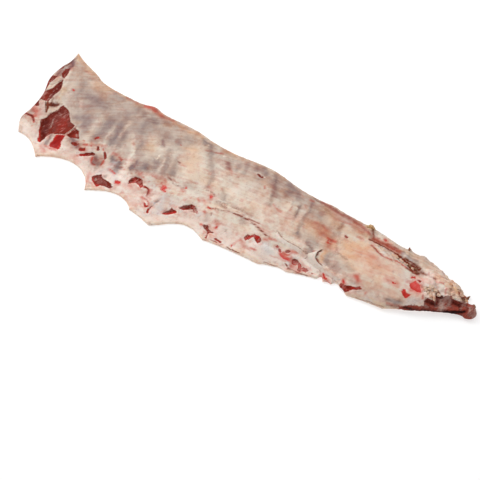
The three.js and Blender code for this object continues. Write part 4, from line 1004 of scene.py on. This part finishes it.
def steak_mesh():
    """The whole steak as one closed mesh, with its tissues and the shade painted in its hollows stored at the
    vertices.
    """
    u, v = closer_to_ends(CELLS_ALONG, END_CLOSER), closer_to_ends(CELLS_ACROSS, RIM_CLOSER)
    points = sheet(u, v)
    fine = np.linspace(0, 1, EDGE_POINTS)
    outline = np.vstack([rib_points(fine), loin_points(fine), curve_at(CUT_END, fine), curve_at(TIP, fine)])
    inward = distances_in(points.reshape(-1, 2), outline).reshape(points.shape[:2])
    inward[[0, -1]] = 0
    inward[:, [0, -1]] = 0
    x, y = points[..., 0], points[..., 1]
    from_loin = np.hypot(*np.moveaxis(points - points[:, -1:], -1, 0))
    from_cut = np.hypot(*np.moveaxis(points - points[:1], -1, 0))
    plain = thickness(x, y, from_loin, from_cut)
    read_x, read_y = as_read(x, y, plain)
    shaped = fold_relief(read_x, read_y) + form_relief(read_x, read_y) + swell_relief(x, y)
    fade = eased(inward, 0, RELIEF_FADE)
    fields = tissue_fields(*as_read(x, y, rounded(plain + shaped * fade, inward)), inward)
    fields["film"] *= eased(np.maximum(fields["flesh"], fields["cut_meat"]), -0.5, 1)
    thick = plain + (shaped + relief(x, y, fields)) * fade
    thick = np.maximum(LEAST_THICKNESS, thick)
    # Painted shade: hollows of the top are painted browner and darker, raised places a little paler.
    hollow_shade = clamped((averaged(thick, HOLLOW_PASSES) - thick) * eased(inward, 1, 5), -1, 1)
    fields["brown_and_shade"] = clamped(fields["brown_and_shade"] + 0.15 * clamped(hollow_shade - 0.08))
    fields["dusk_and_painted_light"] += 0.3 * hollow_shade
    top = rounded(thick, inward)
    wrinkle = 0.35 * (noise(x / 30, y / 4, 51) + noise(x / 9, y / 9, 52)) * eased(inward, 2, 12)
    under = (thick - top) * SIDE_SHARE / (1 - SIDE_SHARE) + np.maximum(0, wrinkle)
    return x, y, inward, top, under, fields


def plan_shift():
    """From the plan's millimetres to the frame's: the outline's box is centred on the frame's origin."""
    plain = np.vstack([np.array(RIB_EDGE)[:, :2], smooth_curve(LOIN_EDGE, EDGE_POINTS),
                       smooth_curve(CUT_END, EDGE_POINTS), smooth_curve(TIP, EDGE_POINTS)])
    low, high = plain.min(axis=0), plain.max(axis=0)
    return -(low + high) / 2


SHIFT = plan_shift()


def make_object(name, vertices, faces, material, fields):
    """A smooth mesh object from plan millimetres, with its fields as vertex attributes."""
    places = (np.array(vertices, float) + [SHIFT[0], SHIFT[1], 0]) * MM
    mesh = bpy.data.meshes.new(name)
    mesh.from_pydata(places.tolist(), [], faces)
    for field, values in fields.items():
        mesh.attributes.new(field, "FLOAT", "POINT").data.foreach_set("value", np.array(values, np.float32))
    across = across_fibres(*np.array(vertices, float)[:, :2].T) * MM
    flow = np.stack([places[:, 0], across, places[:, 2]], axis=-1).astype(np.float32)
    mesh.attributes.new("fibre_place", "FLOAT_VECTOR", "POINT").data.foreach_set("vector", flow.ravel())
    mesh.polygons.foreach_set("use_smooth", [True] * len(mesh.polygons))
    mesh.materials.append(material)
    mesh.validate()
    made = bpy.data.objects.new(name, mesh)
    bpy.context.scene.collection.objects.link(made)
    return made


def make_steak(material):
    """The steak with a fine grid on top and one half as fine below, joined at the outline."""
    x, y, inward, top, under, fields = steak_mesh()
    columns, rows = x.shape[0] - 1, x.shape[1] - 1
    index = np.arange(x.size).reshape(x.shape)
    keep = np.zeros(x.shape, bool)
    keep[::2, ::2] = True
    keep[[0, -1]] = False
    keep[:, [0, -1]] = False
    under_index = index.copy()
    under_index[keep] = x.size + np.arange(keep.sum())
    vertices = np.vstack([
        np.stack([x.ravel(), y.ravel(), top.ravel()], axis=-1),
        np.stack([x[keep], y[keep], under[keep]], axis=-1),
    ])
    faces = cell_faces(1, index, columns, rows)
    faces += [face[::-1] for face in cell_faces(2, under_index, columns, rows)]
    kept = {name: values[keep] for name, values in fields.items()}
    below = underside_fields(x[keep], y[keep], inward[keep], kept)
    stored = {name: np.concatenate([values.ravel(), below[name]]) for name, values in fields.items()}
    return make_object("steak", vertices, faces, material, stored)


def steak_surface(steak):
    """Finds places on the steak's own mesh, in the frame's metres."""
    mesh = steak.data
    return BVHTree.FromPolygons([v.co for v in mesh.vertices], [tuple(p.vertices) for p in mesh.polygons])


def on_steak(surface, x, y):
    """Where the camera's ray through a place as read meets the steak, or the table beside it. Plan mm."""
    shift = Vector((*SHIFT, 0))
    eye = Vector((AIM_X, AIM_Y, 0)) + look_from(VIEW_AZIMUTH, VIEW_ELEVATION) * VIEW_DISTANCE / MM
    read = Vector((x, y, READ_HEIGHT))
    hit = surface.ray_cast((eye + shift) * MM, (read - eye).normalized())[0]
    return hit / MM - shift if hit else Vector((x, y, LEAST_THICKNESS))


def even_fields(fields, count):
    """Fields that are the same all over a piece, with no bare tissue on it unless they say so."""
    whole = {**dict.fromkeys(CRISP_TISSUES, NONE_NEAR), **fields}
    return {name: np.full(count, float(value)) for name, value in whole.items()}


def make_flap(name, rows, surface, thick, fields, material):
    """A thin closed sheet through rows of points, smooth both ways."""
    along, across = FLAP_POINTS
    fine = np.array([smooth_curve(row, across) for row in rows])
    fine = np.stack([smooth_curve(fine[:, number], along) for number in range(across)], axis=1)
    crest = np.array([
        [on_steak(surface, x, y) + Vector((0, 0, lift)) for x, y, lift in line] for line in fine
    ])
    crest[..., 2] += 0.2 * noise(crest[..., 0] / 3, crest[..., 1] / 3, 61)
    under = crest - [0, 0, thick]
    crest[[0, -1], :, 2] -= thick / 2
    crest[:, [0, -1], 2] -= thick / 2
    index = np.arange(crest.size // 3).reshape(crest.shape[:2])
    inner = np.zeros(index.shape, bool)
    inner[1:-1, 1:-1] = True
    under_index = index.copy()
    under_index[inner] = index.size + np.arange(inner.sum())
    faces = cell_faces(1, index, along - 1, across - 1)
    faces += [face[::-1] for face in cell_faces(1, under_index, along - 1, across - 1)]
    vertices = np.vstack([crest.reshape(-1, 3), under[inner]])
    return make_object(name, vertices, faces, material, even_fields(fields, len(vertices)))


def make_lumps(name, lumps, surface, fields, material):
    """Rounded lumps with a rough skin, half sunk in the steak."""
    shape = bmesh.new()
    for number, (x, y, long, wide, high, turn, lift) in enumerate(lumps):
        made = bmesh.ops.create_icosphere(shape, subdivisions=3, radius=1)["verts"]
        middle = on_steak(surface, x, y)
        for vertex in made:
            px, py, pz = vertex.co
            skin_x, skin_y = np.array([1.4 * px + 7 * number]), np.array([1.4 * py + 1.2 * pz])
            rough = 1 + 0.6 * float(noise(skin_x, skin_y, 62)[0])
            side, back = turned(px * long * rough, py * wide * rough, -turn)
            vertex.co = (middle.x + side, middle.y + back, max(0.3, middle.z + lift + pz * high * rough))
    vertices = [vertex.co[:] for vertex in shape.verts]
    shape.verts.index_update()
    faces = [[vertex.index for vertex in face.verts] for face in shape.faces]
    shape.free()
    return make_object(name, vertices, faces, material, even_fields(fields, len(vertices)))


def make_tatters(steak, material):
    """The flaps and lumps that stand off the steak."""
    surface = steak_surface(steak)
    for name, rows, thick, fields in FLAPS:
        yield make_flap(name, rows, surface, thick, fields, material)
    for name, lumps, fields in LUMPS:
        yield make_lumps(name, lumps, surface, fields, material)


def linear(hex_colour):
    """An sRGB hex colour as linear RGBA."""
    parts = [int(hex_colour[k:k + 2], 16) / 255 for k in (1, 3, 5)]
    return (*[p / 12.92 if p <= 0.04045 else ((p + 0.055) / 1.055) ** 2.4 for p in parts], 1.0)


def add(tree, kind, inputs=None, **settings):
    """Adds a node with its settings. An input is given a value, or linked where it is a socket."""
    node = tree.nodes.new(kind)
    for name, value in settings.items():
        setattr(node, name, value)
    for name, value in (inputs or {}).items():
        if isinstance(value, bpy.types.NodeSocket):
            tree.links.new(value, node.inputs[name])
        else:
            node.inputs[name].default_value = value
    return node


def new_material(name):
    """A material with an empty node tree."""
    material = bpy.data.materials.new(name)
    material.use_nodes = True
    material.node_tree.nodes.clear()
    return material


# Patterns of the steak's material: turn in degrees from the length, size of a feature in mm, detail. Fibres
# and grain are drawn coarser than the real ones, which are too fine to show.

PATTERNS = {
    "bundles": (-8, (8, 44, 40), 2),
    "blotch": (0, (16, 16, 16), 4),
    "mottle": (0, (5, 5, 5), 3),
    "speck": (0, (1.8, 1.8, 1.8), 2),
    "grain": (66, (11, 1.3, 11), 2),
    "vein": (12, (24, 4, 24), 4),
}
FIBRE_PATTERNS = {"striae": (0, (22, 1.1, 22), 3), "strands": (0, (34, 3.2, 34), 3)}
PATTERNS.update(FIBRE_PATTERNS)
# Turn of the noise's own grid, so that it draws no lines square to the fibres
GRID_TURN = (0.5, 0.35, 0.7)
# How each mark's edge follows the patterns: pattern and how far it swings the mark, then where it starts and
# where it is full
MASKS = {
    "dusk_and_painted_light": (
        (("bundles", 0.35), ("striae", 0.11), ("strands", 0.22), ("blotch", 0.65), ("mottle", 0.22)),
        -0.5, 0.9,
    ),
    "peach": ((("blotch", 0.8), ("strands", 0.5)), -0.08, 1.05),
    "tallow": ((("blotch", 0.6), ("mottle", 0.3)), 0, 1.0),
    "fat": ((("vein", 1.2),), 0.1, 0.9),
    "rose": ((("mottle", 0.55), ("strands", 0.45), ("blotch", 0.5)), 0.02, 1.0),
    "brown_and_shade": ((("speck", 0.6),), 0.04, 0.85),
    "veil_and_glints": ((("striae", 0.5), ("mottle", 0.5)), 0.1, 0.9),
    "flesh": ((("speck", 1.6), ("mottle", 2.2)), -0.4, 0.5),
    "flesh_tone": ((("grain", 1.1), ("mottle", 0.6)), -0.75, 0.75),
    "cut_meat": ((("speck", 2.4), ("mottle", 3.0)), -0.5, 0.6),
    "film": ((("mottle", 1.4), ("grain", 1.0)), 0.1, 0.9),
    "cut_hollows_and_shade": ((("mottle", 1.4), ("speck", 1.0)), -0.1, 1.1),
    "blood": ((("speck", 2.4), ("mottle", 1.5)), -0.5, 0.7),
}
# Colours of the tissues from one end of a mask to the other
TISSUES = {
    "membrane": ("dusk_and_painted_light", ("#e8dccd", "#d6c6b7", "#bfac9f", "#a6928a", "#867373")),
    "fringe_fat": ("dusk_and_painted_light", ("#faeade", "#f2e0d3", "#e8d1c4", "#d0b8ab", "#ab958e")),
    "muscle": ("flesh_tone", ("#430e0d", "#601912", "#7a2a1e", "#952c20", "#bd2b23")),
    # Meat and film darken through their shades with the cut's hollows: painted shade
    "meat": ("cut_hollows_and_shade", ("#9c4a3c", "#8a3c30", "#702c22", "#521b12", "#2a0a08")),
    "film": ("cut_hollows_and_shade", ("#c8ac9f", "#b8998f", "#9c776e", "#724e48", "#4a2e2a")),
    "blood": ("flesh_tone", ("#9a100f", "#b21b17", "#ca322a", "#d84a45", "#e0665f")),
}
# What lies over what, from the membrane up: mask, how it is laid on, tissue or stain, how much of it at most
LAYERS = [
    ("fat", "MIX", "fringe_fat", 0.95),
    ("peach", "MULTIPLY", "#ffdcc2", 1.0),
    ("tallow", "MULTIPLY", "#f5dbad", 1.0),
    ("veil_and_glints", "MIX", "#dfdad8", 0.85),
    ("rose", "MULTIPLY", "#e4837a", 1.0),
    # Brown stains and painted shade are multiplied in together
    ("brown_and_shade", "MULTIPLY", "#9a4c34", 1.0),
    ("flesh", "MIX", "muscle", 1.0),
    ("cut_meat", "MIX", "meat", 1.0),
    ("film", "MIX", "film", 0.85),
    ("blood", "MIX", "blood", 0.98),
]


def steak_patterns(tree):
    """Uneven patterns at the sizes of bundles, blotches, fibres and specks."""
    place = add(tree, "ShaderNodeTexCoord").outputs["Object"]
    fibre_place = add(tree, "ShaderNodeAttribute", attribute_name="fibre_place").outputs["Vector"]
    pattern = {}
    for name, (turn, sizes, detail) in PATTERNS.items():
        mapped = add(tree, "ShaderNodeMapping", {
            "Vector": fibre_place if name in FIBRE_PATTERNS else place,
            "Rotation": (0, 0, math.radians(turn)),
            "Scale": tuple(size * MM for size in sizes),
        }, vector_type="TEXTURE")
        askew = add(tree, "ShaderNodeMapping", {"Vector": mapped.outputs[0], "Rotation": GRID_TURN})
        pattern[name] = add(tree, "ShaderNodeTexNoise", {
            "Vector": askew.outputs[0], "Scale": 1.0, "Detail": detail, "Roughness": 0.55,
        }).outputs["Fac"]
    return pattern


def steak_masks(tree, pattern):
    """The marks stored on the mesh, from 0 to 1, with edges that the patterns break up."""
    mask = {}
    for name, (swings, low, high) in MASKS.items():
        level = add(tree, "ShaderNodeAttribute", attribute_name=name).outputs["Fac"]
        for by, amount in swings:
            level = add(tree, "ShaderNodeMath", {0: pattern[by], 1: amount, 2: level},
                        operation="MULTIPLY_ADD").outputs[0]
        middle = sum(amount for by, amount in swings) / 2
        mask[name] = add(tree, "ShaderNodeMapRange", {"Value": level, "From Min": low + middle,
                                                      "From Max": high + middle}).outputs[0]
    return mask


def tissue_colours(tree, mask):
    """Each tissue's colour, shifting through its shades with one of the masks."""
    tissue = {}
    for name, (by, colours) in TISSUES.items():
        ramp = add(tree, "ShaderNodeValToRGB", {"Fac": mask[by]})
        stops = ramp.color_ramp.elements
        while len(stops) < len(colours):
            stops.new(0.5)
        for number, colour in enumerate(colours):
            stops[number].position = number / (len(colours) - 1)
            stops[number].color = linear(colour)
        tissue[name] = ramp.outputs["Color"]
    return tissue


def layered_colour(tree, mask):
    """The membrane's colour with every tissue, stain and painted shade laid over it in turn."""
    tissue = tissue_colours(tree, mask)
    colour = tissue["membrane"]
    for name, blend, over, most in LAYERS:
        share = add(tree, "ShaderNodeMath", {0: mask[name], 1: most}, operation="MULTIPLY").outputs[0]
        colour = add(tree, "ShaderNodeMix", {
            0: share, 6: colour, 7: tissue[over] if over in tissue else linear(over),
        }, data_type="RGBA", blend_type=blend).outputs[2]
    return colour


def wet_and_dry(tree, mask, pattern):
    """Roughness and gloss: bare muscle is wet, membrane drier in specks, and dark meat shines less."""
    wet = add(tree, "ShaderNodeMath", {0: mask["flesh"], 1: mask["blood"]}, operation="MAXIMUM").outputs[0]
    dark = wet
    for name in ("cut_meat", "brown_and_shade"):
        dark = add(tree, "ShaderNodeMath", {0: dark, 1: mask[name]}, operation="MAXIMUM").outputs[0]
    gloss = add(tree, "ShaderNodeMath", {0: dark, 1: -0.22, 2: 0.3}, operation="MULTIPLY_ADD").outputs[0]
    dry = add(tree, "ShaderNodeMath", {0: pattern["speck"], 1: 0.3, 2: 0.35},
              operation="MULTIPLY_ADD").outputs[0]
    roughness = add(tree, "ShaderNodeMix", {0: wet, 2: dry, 3: 0.3}, data_type="FLOAT").outputs[0]
    return roughness, gloss


def fine_bump(tree, pattern):
    """Fibres, specks and mottle too low for the mesh: each pattern's height in mm."""
    height = add(tree, "ShaderNodeMath", {0: pattern["striae"], 1: 0.04}, operation="MULTIPLY").outputs[0]
    for by, amount in (("speck", 0.06), ("mottle", 0.12)):
        height = add(tree, "ShaderNodeMath", {0: pattern[by], 1: amount, 2: height},
                     operation="MULTIPLY_ADD").outputs[0]
    return add(tree, "ShaderNodeBump", {"Height": height, "Strength": 1.0, "Distance": MM}).outputs[0]


def raw_steak():
    """Raw skirt steak: thin wet membrane, cream fat and dark red muscle.

    The membrane is translucent, so muscle under it reads grey-mauve, and fat under it cream. Its fibres
    draw fine slanting lines. Bare muscle is deep red and wetter. All of it is moist, so it has a soft sheen.
    """
    material = new_material("raw_skirt_membrane")
    tree = material.node_tree
    pattern = steak_patterns(tree)
    mask = steak_masks(tree, pattern)
    roughness, gloss = wet_and_dry(tree, mask, pattern)
    shader = add(tree, "ShaderNodeBsdfPrincipled", {
        "Base Color": layered_colour(tree, mask), "Roughness": roughness, "Normal": fine_bump(tree, pattern),
        "IOR": 1.4,
        "Subsurface Weight": 0.12, "Subsurface Radius": (1.0, 0.4, 0.25), "Subsurface Scale": 3 * MM,
        "Specular IOR Level": gloss, "Coat Weight": 0.04, "Coat Roughness": 0.25,
    })
    add(tree, "ShaderNodeOutputMaterial", {"Surface": shader.outputs[0]})
    return material


# Studio, metres. Each softbox: name, azimuth and elevation in degrees, distance, side, watts

FLOOR_HALF = 4.0
ROOM_LIGHT = 0.36
SOFTBOXES = [("key_softbox", -100, 52, 1.8, 1.0, 17), ("top_softbox", 170, 75, 2.0, 1.8, 11)]


def studio_floor():
    """Matt white studio table, only there for the steak's soft shadow. Its own light makes it pure white."""
    material = new_material("studio_floor")
    tree = material.node_tree
    shader = add(tree, "ShaderNodeBsdfPrincipled", {
        "Base Color": linear("#b8b8b8"), "Roughness": 1.0,
        "Emission Color": linear("#ffffff"), "Emission Strength": 0.62,
    })
    add(tree, "ShaderNodeOutputMaterial", {"Surface": shader.outputs[0]})
    mesh = bpy.data.meshes.new("floor")
    sides = ((-1, -1), (1, -1), (1, 1), (-1, 1))
    corners = [(FLOOR_HALF * right, FLOOR_HALF * back, 0) for right, back in sides]
    mesh.from_pydata(corners, [], [(0, 1, 2, 3)])
    mesh.materials.append(material)
    floor = bpy.data.objects.new("floor", mesh)
    bpy.context.scene.collection.objects.link(floor)


def placed_facing(made, place, target):
    """Puts a camera or light at a place, turned to look at the target."""
    turn = (place - target).to_track_quat("Z", "Y").to_matrix().to_4x4()
    made.matrix_world = Matrix.Translation(place) @ turn


def make_camera():
    """The camera, above the table beyond the rib edge and a little towards the tip."""
    camera = bpy.data.objects.new("camera", bpy.data.cameras.new("camera"))
    camera.data.lens = VIEW_LENS
    camera.data.clip_end = VIEW_REACH
    bpy.context.scene.collection.objects.link(camera)
    aim = Vector(((AIM_X + SHIFT[0]) * MM, (AIM_Y + SHIFT[1]) * MM, 0))
    placed_facing(camera, aim + look_from(VIEW_AZIMUTH, VIEW_ELEVATION) * VIEW_DISTANCE, aim)
    bpy.context.scene.camera = camera


def make_light(name, azimuth, elevation, distance, size, power):
    """A square softbox that faces the steak."""
    data = bpy.data.lights.new(name, "AREA")
    data.size = size
    data.energy = power
    light = bpy.data.objects.new(name, data)
    bpy.context.scene.collection.objects.link(light)
    place = look_from(math.radians(azimuth), math.radians(elevation)) * distance
    placed_facing(light, place, Vector((0, 0, 0)))


def make_studio():
    """White floor, softboxes and an even room light."""
    studio_floor()
    for softbox in SOFTBOXES:
        make_light(*softbox)
    world = bpy.data.worlds.new("studio")
    world.use_nodes = True
    world.node_tree.nodes["Background"].inputs["Color"].default_value = (1, 1, 1, 1)
    world.node_tree.nodes["Background"].inputs["Strength"].default_value = ROOM_LIGHT
    bpy.context.scene.world = world
    bpy.context.scene.view_settings.view_transform = "Standard"


make_camera()
make_studio()
skirt_finish = raw_steak()
steak = make_steak(skirt_finish)
for piece in (steak, *make_tatters(steak, skirt_finish)):
    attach(piece, "root")
    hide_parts("skirt_steak")
